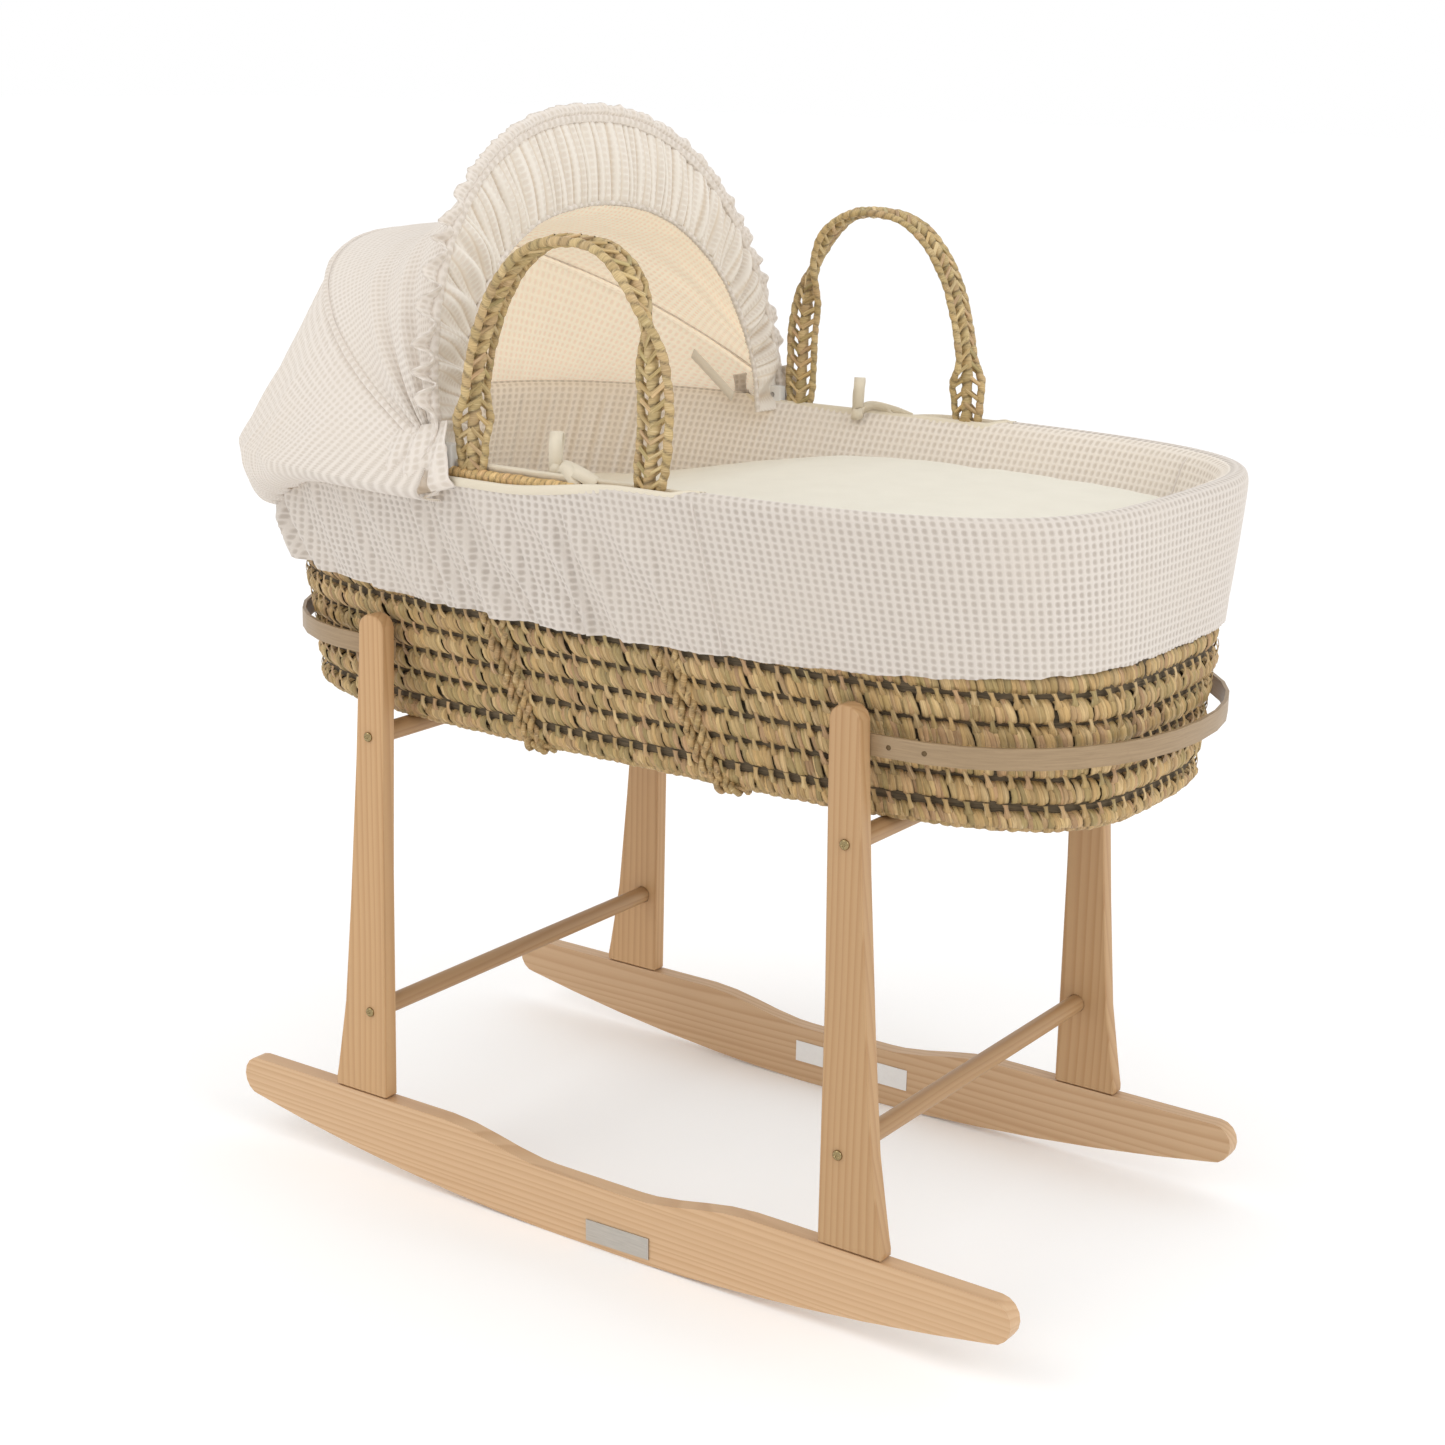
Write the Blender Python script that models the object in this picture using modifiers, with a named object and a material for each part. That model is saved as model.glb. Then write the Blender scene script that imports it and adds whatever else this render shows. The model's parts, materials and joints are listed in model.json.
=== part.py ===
"""A palm Moses basket with a folding hood, on a rocking stand.

Metres, +Z up. X runs along the basket: the foot end is at +X and the head end, with the hood, at -X.
The near side is at -Y. Z = 0 is the floor, under the middle of the rockers.
"""

import math

import bmesh
import bpy
from mathutils import Vector

GAP = 0.0004  # clearance left between pieces that touch

# The hood overhangs the head end, so the stand's middle lies this far forward of the whole object's middle.
STAND_X = 0.0044

# Rocking stand
HALF_WIDTH = 0.208  # outer face of the side frames
BOARD = 0.0155
INNER = HALF_WIDTH - BOARD
ROCKER_RADIUS = 2.08
ROCKER_HALF = 0.399
ROCKER_TOP = 0.0716
ROCKER_DIP = 0.0158
FLAT_HALF = 0.05  # short flat at the bottom of the rocker's arc
LEG_TOP = 0.5085
LEG_TOP_X, LEG_TOP_HALF, LEG_ARCH = 0.2350, 0.0138, 0.011
PEG_X = 0.255
UPPER_BAR_X, UPPER_BAR_Z, UPPER_BAR_R = 0.2392, 0.4013, 0.0085
LOWER_BAR_X, LOWER_BAR_Z, LOWER_BAR_R = 0.2424, 0.1502, 0.0082
SOCKET_DEPTH = 0.004
HOOP_Z, HOOP_HEIGHT, HOOP_THICK = 0.4772, 0.0166, 0.003
HOOP_START_X, HOOP_REACH, HOOP_POWER = 0.260, 0.1664, 2.13
HOOP_END_X, HOOP_SCREW_X = 0.2235, 0.2345
PEG_R, PEG_HALF = 0.004, 0.018
SCREW_R, SCREW_HEAD_R = 0.0021, 0.0046

# Basket: level superellipses, from the base to the rim
BASE_Z = 0.4102
EDGE_Z = 0.420
RIM_Z = 0.6555
BASE_LENGTH_HALF, RIM_LENGTH_HALF = 0.3994, 0.4077
BASE_WIDTH_HALF, RIM_WIDTH_HALF = 0.1664, 0.2527
CORNER = 3.6  # superellipse power
WALL = 0.010
BASKET_TOP = 0.640
LINING, LINING_FLOOR, LINING_GAP = 0.008, 0.004, 0.0012
SKIRT, SKIRT_STAND_OFF = 0.0025, 0.0045
RIM_ROLL_R, RIM_ROLL_INSET = 0.0085, 0.0127  # padded edge over the rim, set in from the outline
HEM_Z = 0.524
GAP_HEAD_X, GAP_FOOT_X = -0.145, 0.100  # stretch of each long side where the woven rim is bare
RIM_STEPS = 40
MATTRESS, PAD_HALF = 0.05, 0.3591

# Handles
HANDLE_X = (-0.098, 0.080)
HANDLE_Y, HANDLE_Z = 0.2355, 0.652
HANDLE_TOP = 0.832
HANDLE_WIDTH, HANDLE_THICK = 0.032, 0.009
HANDLE_LEAN_X = 0.012  # how far the crown stands off the middle

# Hood
PIVOT_X, PIVOT_Z = -0.126, 0.660
WIRE_R = 0.0016
EYE_R = 0.0043
BRACKET_Y, PIN_R = (0.2300, 0.2395), 0.002
FRONT_Y, REAR_Y = 0.2425, 0.2470
FRONT_ANGLE, REAR_ANGLE = math.radians(80.5), math.radians(30.0)
FRONT_REACH, REAR_REACH = 0.2565, 0.296
FRONT_POWER, REAR_POWER = 2.2, 2.0
BRIM_Y, BRIM_REACH = 0.205, 0.1858
FRILL = 0.0125
CANOPY = 0.002
HOOD_HEM_Z, HOOD_HEM_HEAD_Z = 0.6228, 0.576  # elastic hem: near the pivots, and at the head end


def clear_scene():
    for obj in list(bpy.data.objects):
        bpy.data.objects.remove(obj)


def collection(name):
    made = bpy.data.collections.new(name)
    bpy.context.scene.collection.children.link(made)
    return made


clear_scene()
BASSINET = collection("bassinet_on_stand")
CUTTERS = collection("cutters")
ORIGIN = bpy.data.objects.new("stand_middle", None)
ORIGIN.location = (STAND_X, 0, 0)
BASSINET.objects.link(ORIGIN)


def material(name, colour, roughness, metallic=0.0):
    made = bpy.data.materials.new(name)
    made.use_nodes = True
    shader = made.node_tree.nodes["Principled BSDF"]
    shader.inputs["Base Color"].default_value = (*colour, 1)
    shader.inputs["Roughness"].default_value = roughness
    shader.inputs["Metallic"].default_value = metallic
    return made


PINE = material("pine", (0.62, 0.42, 0.24), 0.45)
BENT_WOOD = material("bent_wood", (0.56, 0.42, 0.29), 0.5)
PALM = material("palm_leaf", (0.48, 0.38, 0.20), 0.7)
WAFFLE = material("waffle_cotton", (0.80, 0.76, 0.70), 0.9)
JERSEY = material("jersey", (0.84, 0.81, 0.72), 0.9)
TAPE = material("cotton_tape", (0.84, 0.76, 0.60), 0.85)
WADDING = material("wadding", (0.85, 0.85, 0.83), 0.95)
STEEL = material("steel_wire", (0.55, 0.55, 0.56), 0.35, 1.0)
ZINC = material("yellow_zinc", (0.60, 0.48, 0.22), 0.3, 1.0)
NICKEL = material("satin_nickel", (0.55, 0.53, 0.50), 0.4, 1.0)
PAPER = material("white_label", (0.80, 0.78, 0.75), 0.6)
PLASTIC = material("white_plastic", (0.82, 0.80, 0.76), 0.5)


# --- Making and placing objects -------------------------------------------------------------------


def place(obj, finish, smooth=None):
    """Puts the object in the bassinet, in the stand's frame, with its finish."""
    for holder in list(obj.users_collection):
        holder.objects.unlink(obj)
    BASSINET.objects.link(obj)
    obj.parent = ORIGIN
    obj.data.materials.clear()
    obj.data.materials.append(finish)
    if smooth is not None:
        obj.data.shade_smooth()
        obj.data.set_sharp_from_angle(angle=math.radians(smooth))
    return obj


def move_origin(obj, origin):
    """Moves a mesh object's origin, and leaves its shape where it is."""
    for vertex in obj.data.vertices:
        vertex.co -= Vector(origin)
    obj.location = Vector(obj.location) + Vector(origin)


def mesh_object(name, bm, finish, smooth=None):
    bmesh.ops.recalc_face_normals(bm, faces=bm.faces)
    mesh = bpy.data.meshes.new(name)
    bm.to_mesh(mesh)
    bm.free()
    obj = bpy.data.objects.new(name, mesh)
    BASSINET.objects.link(obj)
    return place(obj, finish, smooth)


def from_curve(curve_obj, name, finish, smooth=None):
    """A mesh object of a curve object, with its caps welded, so that it takes modifiers."""
    bpy.context.view_layer.update()
    graph = bpy.context.evaluated_depsgraph_get()
    mesh = bpy.data.meshes.new_from_object(curve_obj.evaluated_get(graph))
    bm = bmesh.new()
    bm.from_mesh(mesh)
    bmesh.ops.remove_doubles(bm, verts=bm.verts, dist=0.00002)
    bmesh.ops.dissolve_degenerate(bm, edges=bm.edges, dist=0.00001)
    bm.transform(curve_obj.matrix_world)
    bmesh.ops.recalc_face_normals(bm, faces=bm.faces)
    bm.to_mesh(mesh)
    bm.free()
    mesh.name = name
    bpy.data.objects.remove(curve_obj)
    obj = bpy.data.objects.new(name, mesh)
    BASSINET.objects.link(obj)
    return place(obj, finish, smooth)


def board(name, outline, y_low, thickness, finish, bevel=0.0):
    """A flat outline in X and Z, cut from a board whose faces are square to Y."""
    curve = bpy.data.curves.new(name + "_outline", "CURVE")
    curve.dimensions = "2D"
    curve.fill_mode = "BOTH"
    curve.extrude = thickness / 2
    spline = curve.splines.new("POLY")
    spline.points.add(len(outline) - 1)
    for point, (x, z) in zip(spline.points, outline):
        point.co = (x, z, 0, 1)
    spline.use_cyclic_u = True
    holder = bpy.data.objects.new(name + "_outline", curve)
    holder.rotation_euler = (math.pi / 2, 0, 0)
    holder.location = (0, y_low + thickness / 2, 0)
    CUTTERS.objects.link(holder)
    obj = from_curve(holder, name, finish, smooth=35)
    if bevel:
        rounded = obj.modifiers.new("rounded_edges", "BEVEL")
        rounded.width = bevel
        rounded.segments = 1
        rounded.limit_method = "ANGLE"
        rounded.angle_limit = math.radians(50)
    return obj


def tube(name, points, radius, finish, sides=2, closed=False):
    """A wire or rail of one radius through the points."""
    curve = bpy.data.curves.new(name, "CURVE")
    curve.dimensions = "3D"
    curve.bevel_depth = radius
    curve.bevel_resolution = sides
    curve.use_fill_caps = not closed
    spline = curve.splines.new("POLY")
    spline.points.add(len(points) - 1)
    for point, place_at in zip(spline.points, points):
        point.co = (*place_at, 1)
    spline.use_cyclic_u = closed
    obj = bpy.data.objects.new(name, curve)
    BASSINET.objects.link(obj)
    return place(obj, finish)


def rod(name, start, end, radius, finish, sides=24):
    """A round bar between two points."""
    start, end = Vector(start), Vector(end)
    bm = bmesh.new()
    bmesh.ops.create_cone(
        bm,
        cap_ends=True,
        segments=sides,
        radius1=radius,
        radius2=radius,
        depth=(end - start).length,
    )
    turn = (end - start).to_track_quat("Z", "Y").to_matrix().to_4x4()
    bm.transform(turn)
    bmesh.ops.translate(bm, verts=bm.verts, vec=(start + end) / 2)
    return mesh_object(name, bm, finish, smooth=40)


def turned(name, profile, base, axis, finish, sides=20):
    """A turned piece: (radius, height) points, from its top down to its base, spun about the axis."""
    bm = bmesh.new()
    verts = [bm.verts.new((r, 0, h)) for r, h in profile]
    for first, second in zip(verts, verts[1:]):
        bm.edges.new((first, second))
    obj = mesh_object(name, bm, finish)
    spin = obj.modifiers.new("turn", "SCREW")
    spin.axis = "Z"
    spin.steps = sides
    spin.render_steps = sides
    spin.use_merge_vertices = True
    spin.merge_threshold = 0.00005
    obj.rotation_euler = Vector(axis).to_track_quat("Z", "Y").to_euler()
    obj.location = base
    return obj


def box(name, low, high, finish, bevel=0.0):
    low, high = Vector(low), Vector(high)
    bm = bmesh.new()
    bmesh.ops.create_cube(bm, size=1)
    bmesh.ops.scale(bm, verts=bm.verts, vec=high - low)
    bmesh.ops.translate(bm, verts=bm.verts, vec=(low + high) / 2)
    obj = mesh_object(name, bm, finish)
    if bevel:
        rounded = obj.modifiers.new("rounded_edges", "BEVEL")
        rounded.width = bevel
        rounded.segments = 2
    return obj


def sheet(name, rows, finish, thickness, offset):
    """A shell of one thickness over rows of points.

    offset is Solidify's: -1 keeps the points on the outer face, and 1 on the inner one.
    """
    bm = bmesh.new()
    grid = [[bm.verts.new(p) for p in row] for row in rows]
    for low, high in zip(grid, grid[1:]):
        for i in range(len(low) - 1):
            bm.faces.new((low[i], low[i + 1], high[i + 1], high[i]))
    mesh = bpy.data.meshes.new(name)
    bm.to_mesh(mesh)
    bm.free()
    obj = bpy.data.objects.new(name, mesh)
    BASSINET.objects.link(obj)
    place(obj, finish, smooth=50)
    shell = obj.modifiers.new("thickness", "SOLIDIFY")
    shell.thickness = thickness
    shell.offset = offset
    return obj


def loft(name, rings, finish, wrap=False, smooth=50):
    """A closed solid through rings of points. wrap joins the last ring to the first, with no caps."""
    bm = bmesh.new()
    grid = [[bm.verts.new(p) for p in ring] for ring in rings]
    count = len(grid[0])
    pairs = list(zip(grid, grid[1:]))
    if wrap:
        pairs.append((grid[-1], grid[0]))
    for low, high in pairs:
        for i in range(count):
            j = (i + 1) % count
            bm.faces.new((low[i], low[j], high[j], high[i]))
    if not wrap:
        bm.faces.new(list(reversed(grid[0])))
        bm.faces.new(grid[-1])
    return mesh_object(name, bm, finish, smooth)


def hole(obj, start, end, radius, sides=16):
    """Cuts a round hole in the object."""
    cutter = rod(obj.name + "_hole", start, end, radius, PINE, sides)
    BASSINET.objects.unlink(cutter)
    CUTTERS.objects.link(cutter)
    cutter.display_type = "WIRE"
    cutter.hide_render = True
    cut = obj.modifiers.new("hole", "BOOLEAN")
    cut.operation = "DIFFERENCE"
    cut.solver = "EXACT"
    cut.object = cutter


def smooth_step(t):
    t = min(max(t, 0.0), 1.0)
    return t * t * (3 - 2 * t)


# --- Rocking stand --------------------------------------------------------------------------------


def rocker_bottom(x):
    flat_rise = ROCKER_RADIUS - math.sqrt(ROCKER_RADIUS**2 - FLAT_HALF**2)
    if abs(x) <= FLAT_HALF:
        return 0.0
    return ROCKER_RADIUS - math.sqrt(ROCKER_RADIUS**2 - x * x) - flat_rise


def rocker_top(x):
    """Level under the legs, with a shallow dip between them."""
    return ROCKER_TOP - GAP - ROCKER_DIP * (1 - smooth_step((abs(x) - 0.045) / 0.115))


def rocker_outline():
    end_r = 0.0165
    x_end = ROCKER_HALF - end_r
    points = [(x, rocker_top(x)) for x in [0.18, 0.16, 0.135, 0.11, 0.085, 0.06, 0.045]]
    points += [(-x, z) for x, z in reversed(points)]
    low = rocker_bottom(x_end)
    middle = (low + ROCKER_TOP - 0.001) / 2
    half = middle - low
    for k in range(9):
        angle = math.pi / 2 + math.pi * k / 8
        points.append((-x_end + end_r * math.cos(angle), middle + half * math.sin(angle)))
    steps = [0.33, 0.27, 0.21, 0.15, 0.10, FLAT_HALF]
    points += [(-x, rocker_bottom(x)) for x in steps]
    points += [(x, rocker_bottom(x)) for x in reversed(steps)]
    for k in range(9):
        angle = -math.pi / 2 + math.pi * k / 8
        points.append((x_end + end_r * math.cos(angle), middle + half * math.sin(angle)))
    return points


def leg_outline(side):
    """Tapered leg with an arched top and a flared foot on its outer side. side is 1 at the foot end."""
    inner = [(0.2259, 0.0), (0.2252, 0.208), (0.2215, 0.40)]
    outer = [(0.285, 0.0), (0.285, 0.007), (0.2829, 0.0177), (0.2787, 0.0432), (0.2725, 0.082)]
    outer += [(0.2642, 0.178), (0.2548, 0.307), (0.2497, 0.400)]
    spring_z = LEG_TOP - ROCKER_TOP - LEG_ARCH
    crown = []
    for k in range(7):
        angle = math.pi * k / 6
        squeeze = 1 if k in (0, 6) else 0.97
        x = LEG_TOP_X + LEG_TOP_HALF * math.cos(angle) * squeeze
        crown.append((x, spring_z + LEG_ARCH * math.sin(angle)))
    points = inner[:1] + outer + crown + list(reversed(inner[1:]))
    return [(side * x, z + ROCKER_TOP) for x, z in points]


def end_hoop(name, side):
    """A thin strip of bent wood, from the inner face of one leg round the basket's end to the other leg."""
    outer_y = INNER - GAP
    end_x, straight_x = side * HOOP_END_X, side * 0.243
    plan = [(end_x, -outer_y), (straight_x, -outer_y)]
    for k in range(19):
        angle = -math.pi / 2 + math.pi * k / 18
        c, s = math.cos(angle), math.sin(angle)
        x = HOOP_START_X + HOOP_REACH * abs(c) ** (2 / HOOP_POWER)
        y = outer_y * math.copysign(abs(s) ** (2 / HOOP_POWER), s)
        plan.append((side * x, y))
    plan += [(straight_x, outer_y), (end_x, outer_y)]
    rows = [[(x, y, HOOP_Z + dz) for x, y in plan] for dz in (-HOOP_HEIGHT / 2, HOOP_HEIGHT / 2)]
    return sheet(name, rows, BENT_WOOD, HOOP_THICK, -side)


def screw(name, x, y, z, way, length, head_r=SCREW_HEAD_R):
    """A pan-head screw along Y. y is the face that its head rests on, and way points out of that face."""
    head = 0.0026
    profile = [(0.0, head), (head_r * 0.7, head * 0.75), (head_r, GAP)]
    profile += [(SCREW_R, GAP), (SCREW_R, -length), (0.0, -length - 0.003)]
    return turned(name, profile, (x, y, z), (0, way, 0), ZINC, sides=10)


def crossbar(name, x, z, radius, bore_depth=0.03):
    half = INNER + SOCKET_DEPTH - GAP
    bar = rod(name, (x, -half, z), (x, half, z), radius, PINE, sides=16)
    for way in (-1, 1):
        hole(bar, (x, way * (half - bore_depth), z), (x, way * (half + 0.01), z), SCREW_R + GAP, 10)
    return bar


def build_stand():
    for way, near in ((-1, "near"), (1, "far")):
        y_low = -HALF_WIDTH if way < 0 else INNER
        rocker = board(f"rocker_{near}", rocker_outline(), y_low, BOARD, PINE, bevel=0.0016)
        middle_y = way * (HALF_WIDTH - BOARD / 2)
        for side, end in ((-1, "head"), (1, "foot")):
            leg = board(f"leg_{near}_{end}", leg_outline(side), y_low, BOARD, PINE, bevel=0.002)
            peg_x = side * PEG_X
            for piece in (rocker, leg):
                low = (peg_x, middle_y, ROCKER_TOP - PEG_HALF - 0.001)
                high = (peg_x, middle_y, ROCKER_TOP + PEG_HALF + 0.001)
                hole(piece, low, high, PEG_R + GAP, 10)
            low = (peg_x, middle_y, ROCKER_TOP - PEG_HALF)
            high = (peg_x, middle_y, ROCKER_TOP + PEG_HALF)
            rod(f"leg_peg_{near}_{end}", low, high, PEG_R, PINE, sides=10)
            bars = (
                ("upper", UPPER_BAR_X, UPPER_BAR_Z, UPPER_BAR_R),
                ("lower", LOWER_BAR_X, LOWER_BAR_Z, LOWER_BAR_R),
            )
            for height, x, z, r in bars:
                at = side * x
                hole(leg, (at, way * (INNER - 0.01), z), (at, way * (INNER + SOCKET_DEPTH), z), r + GAP, 16)
                hole(leg, (at, way * INNER, z), (at, way * (HALF_WIDTH + 0.01), z), SCREW_R + GAP, 10)
                screw(f"crossbar_screw_{near}_{end}_{height}", at, way * HALF_WIDTH, z, way, 0.036)
            hoop_x = side * HOOP_SCREW_X
            deep = INNER + 0.0105
            hole(leg, (hoop_x, way * (INNER - 0.01), HOOP_Z), (hoop_x, way * deep, HOOP_Z), SCREW_R + GAP, 10)
    for side, end in ((-1, "head"), (1, "foot")):
        crossbar(f"crossbar_upper_{end}", side * UPPER_BAR_X, UPPER_BAR_Z, UPPER_BAR_R)
        crossbar(f"crossbar_lower_{end}", side * LOWER_BAR_X, LOWER_BAR_Z, LOWER_BAR_R)
        hoop = end_hoop(f"end_hoop_{end}", side)
        for way, near in ((-1, "near"), (1, "far")):
            x = side * HOOP_SCREW_X
            ends = [(x, way * (INNER + over), HOOP_Z) for over in (-0.01, 0.01)]
            hole(hoop, *ends, SCREW_R + GAP, 10)
            face = INNER - GAP - HOOP_THICK
            screw(f"hoop_screw_{near}_{end}", x, way * face, HOOP_Z, -way, 0.0105, head_r=0.0038)
    # blank plate on the near rocker's face, and a blank label on the far rocker's inner face
    badge = box("badge_plate", (-0.0325, -0.0012, -0.0095), (0.0325, -GAP, 0.0095), NICKEL)
    badge.location = (0.031, -HALF_WIDTH, 0.0148)
    badge.rotation_euler = (0, -0.02, 0)
    label = box("blank_label", (-0.0625, -0.0008, -0.0103), (0.0625, -GAP, 0.0103), PAPER)
    label.location = (0.009, INNER, 0.0305)


# --- Basket ---------------------------------------------------------------------------------------


def level(z):
    """(half length, half width, centre in X) of the dressed basket's outer face at a height."""
    t = min(max((z - EDGE_Z) / (RIM_Z - EDGE_Z), 0.0), 1.0)
    a = BASE_LENGTH_HALF + (RIM_LENGTH_HALF - BASE_LENGTH_HALF) * t
    b = BASE_WIDTH_HALF + (RIM_WIDTH_HALF - BASE_WIDTH_HALF) * t**1.4
    return a, b, -0.0062 * (1 - t)


def rim_point(angle, z, offset=0.0):
    """A point on the basket's level outline. angle 0 is the foot end and a quarter turn is the far side."""
    a, b, middle = level(z)
    c, s = math.cos(angle), math.sin(angle)
    x = math.copysign(abs(c) ** (2 / CORNER), c)
    y = math.copysign(abs(s) ** (2 / CORNER), s)
    return (middle + (a + offset) * x, (b + offset) * y, z)


def ring_angles(count=RIM_STEPS):
    """Angles whose points are spread evenly enough round the outline."""
    angles = []
    for k in range(count):
        angle = 2 * math.pi * k / count
        angles.append(angle - 0.21 * math.sin(4 * angle))
    return angles


def ring(z, offset=0.0):
    return [rim_point(angle, z, offset) for angle in ring_angles()]


def weave_offset(z):
    """How far the bare weave lies inside the dressed outline: nothing below the skirt, 5.5 mm at the rim."""
    return -0.0055 * min(max((z - HEM_Z) / (RIM_Z - HEM_Z), 0.0), 1.0)


def over_gap(x, margin=0.0):
    return GAP_HEAD_X - margin < x < GAP_FOOT_X + margin


def vessel(name, outer, inner, finish):
    """An open-topped vessel from its outer rings and its inner rings, each from the base up."""
    return loft(name, outer + list(reversed(inner)), finish)


def lined(z, depth):
    """A ring at a depth inside the bare weave's outer face."""
    return ring(z, weave_offset(z) - depth)


def build_basket():
    heights = (0.452, 0.488, 0.524, 0.565, 0.605, BASKET_TOP)
    outer = [ring(BASE_Z, -0.012), ring(BASE_Z + 0.0025, -0.004), ring(EDGE_Z, 0)]
    outer += [lined(z, 0) for z in heights]
    floor_z = BASE_Z + WALL
    inner = [ring(floor_z, -WALL - 0.014), ring(floor_z + 0.010, -WALL - 0.002)]
    inner += [lined(z, WALL) for z in heights]
    vessel("palm_basket", outer, inner, PALM)

    # lining: a padded wall and a floor, just inside the weave
    face = WALL + LINING_GAP
    floor_z += LINING_GAP
    heights = (0.452, 0.488, 0.524, 0.565, 0.605, BASKET_TOP - 0.0015)
    outer = [ring(floor_z, -face - 0.016), ring(floor_z + 0.010, -face - 0.004)]
    outer += [lined(z, face) for z in heights]
    inner = [ring(floor_z + LINING_FLOOR, -face - LINING - 0.016)]
    inner += [ring(floor_z + 0.014, -face - LINING - 0.004)]
    inner += [lined(z, face + LINING) for z in heights]
    vessel("lining", outer, inner, WAFFLE)

    # skirt: hangs outside from the rim to its elastic hem, lower over the bare stretch of rim
    def skirt_row(t, depth):
        row = []
        for angle in ring_angles():
            x = rim_point(angle, RIM_Z)[0]
            hem = HEM_Z + 0.016 * (x / 0.4) ** 2
            top = 0.632 if over_gap(x, margin=0.055) else 0.6475
            z = hem + (top - hem) * t
            row.append(rim_point(angle, z, SKIRT_STAND_OFF * (1 - t) - depth))
        return row

    steps = [t / 4 for t in range(5)]
    outside = [skirt_row(t, 0) for t in steps]
    inside = [skirt_row(t, SKIRT) for t in reversed(steps)]
    loft("skirt", outside + inside, WAFFLE, wrap=True)

    # padded edge over the rim, at each end of the basket
    def edge(name, angles):
        points = [rim_point(angle, 0.648, -RIM_ROLL_INSET) for angle in angles]
        points = [(x, y, BASKET_TOP + GAP + RIM_ROLL_R) for x, y, _ in points]
        tube(name, points, RIM_ROLL_R, WAFFLE, sides=1)

    dense = [(k - 90) * math.pi / 90 for k in range(181)]
    clear = 0.006
    foot = [a for a in dense if rim_point(a, 0.648)[0] > GAP_FOOT_X + clear]
    head = [a + math.pi for a in dense if rim_point(a + math.pi, 0.648)[0] < GAP_HEAD_X - clear]
    edge("rim_edge_foot", foot[::4] + foot[-1:])
    edge("rim_edge_head", head[::4] + head[-1:])

    # tapes that bind the skirt's and the lining's edges over the bare stretches
    for way, near in ((-1, "near"), (1, "far")):
        low_x, high_x = GAP_HEAD_X + 0.012, GAP_FOOT_X - 0.012
        skirt_y = abs(rim_point(-math.pi / 2, 0.636)[1])
        y = sorted((way * (skirt_y - 0.0018), way * (skirt_y + 0.0007)))
        box(f"skirt_tape_{near}", (low_x, y[0], 0.6328), (high_x, y[1], 0.6405), TAPE)
        lining_y = abs(rim_point(-math.pi / 2, 0.640, weave_offset(0.640) - face)[1])
        y = sorted((way * (lining_y - 0.0062), way * (lining_y - 0.0022)))
        box(f"lining_tape_{near}", (low_x, y[0], 0.6392), (high_x, y[1], 0.648), TAPE)
        middle = Vector((-0.02, way * (lining_y - 0.0105), 0.645))
        half = Vector((0.014, 0, 0))
        knot = rod(f"tie_bow_{near}", middle - half, middle + half, 0.0035, TAPE, 10)
        move_origin(knot, middle)

    # leaf straps from the handles down the walls and under the base
    for end, top_x, mid_x, low_x in (("head", -0.112, -0.096, -0.083), ("foot", 0.062, 0.086, 0.110)):
        under_strap(f"under_strap_{end}", top_x, mid_x, low_x)


def under_strap(name, top_x, mid_x, low_x):
    """A strap down the near wall, under the base and up the far wall, just clear of the weave."""
    near_wall = []
    for z in (0.517, 0.500, 0.475, 0.450, 0.430):
        t = (0.517 - z) / (0.517 - 0.430)
        near_wall.append((top_x + (mid_x - top_x) * t, level(z)[1], z))
    near_wall.append(((mid_x + low_x) / 2, BASE_WIDTH_HALF, EDGE_Z))
    near_wall.append((low_x, BASE_WIDTH_HALF - 0.004, BASE_Z + 0.0025))
    near_wall.append((low_x, BASE_WIDTH_HALF - 0.012, BASE_Z))
    route = [(x, -y, z) for x, y, z in near_wall] + [(low_x, 0.0, BASE_Z)]
    route += [(x, y, z) for x, y, z in reversed(near_wall)]
    half, clear, thick = 0.0135, 0.0007, 0.0045
    rings = []
    for k, (x, y, z) in enumerate(route):
        before, after = route[max(k - 1, 0)], route[min(k + 1, len(route) - 1)]
        along = Vector((0, after[1] - before[1], after[2] - before[2])).normalized()
        out = Vector((0, along.z, -along.y))
        at = Vector((x, y, z))
        low, high = at + out * clear, at + out * (clear + thick)
        side = Vector((half, 0, 0))
        rings.append([low - side, low + side, high + side, high - side])
    loft(name, rings, PALM)


def mattress_top(x):
    """Height of the mattress: level over the foot half, and falling towards the head."""
    return 0.577 + 0.051 * smooth_step((x + 0.30) / 0.36)


def lined_half_width(x, z, inset):
    """Half the width inside the lining, less an inset, at a place along the basket."""
    depth = -weave_offset(z) + WALL + LINING_GAP + LINING + inset
    a, b, middle = level(z)
    across = 1 - (abs(x - middle) / (a - depth)) ** CORNER
    return (b - depth) * max(across, 0.0) ** (1 / CORNER)


def pad(name, low_at, high_at, finish, crown, soft, foot_inset):
    """A pad across the lined basket between two heights, lofted from the head end to the foot end."""
    rings = []
    for k in range(15):
        x = -PAD_HALF * math.cos(math.pi * k / 14) - 0.002
        low, high = low_at(x), high_at(x)
        sides = [(low, foot_inset + 0.008), (low + soft, foot_inset)]
        sides += [(high - soft, 0.003), (high - 0.15 * soft, 0.012)]
        flank = [(lined_half_width(x, z, inset), z) for z, inset in sides]
        section = [(x, -y, z) for y, z in flank]
        section += [(x, y, high + crown * (1 - (2 * y) ** 2)) for y in (-0.08, 0.0, 0.08)]
        section += [(x, y, z) for y, z in reversed(flank)]
        rings.append(section)
    loft(name, rings, finish)


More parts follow.
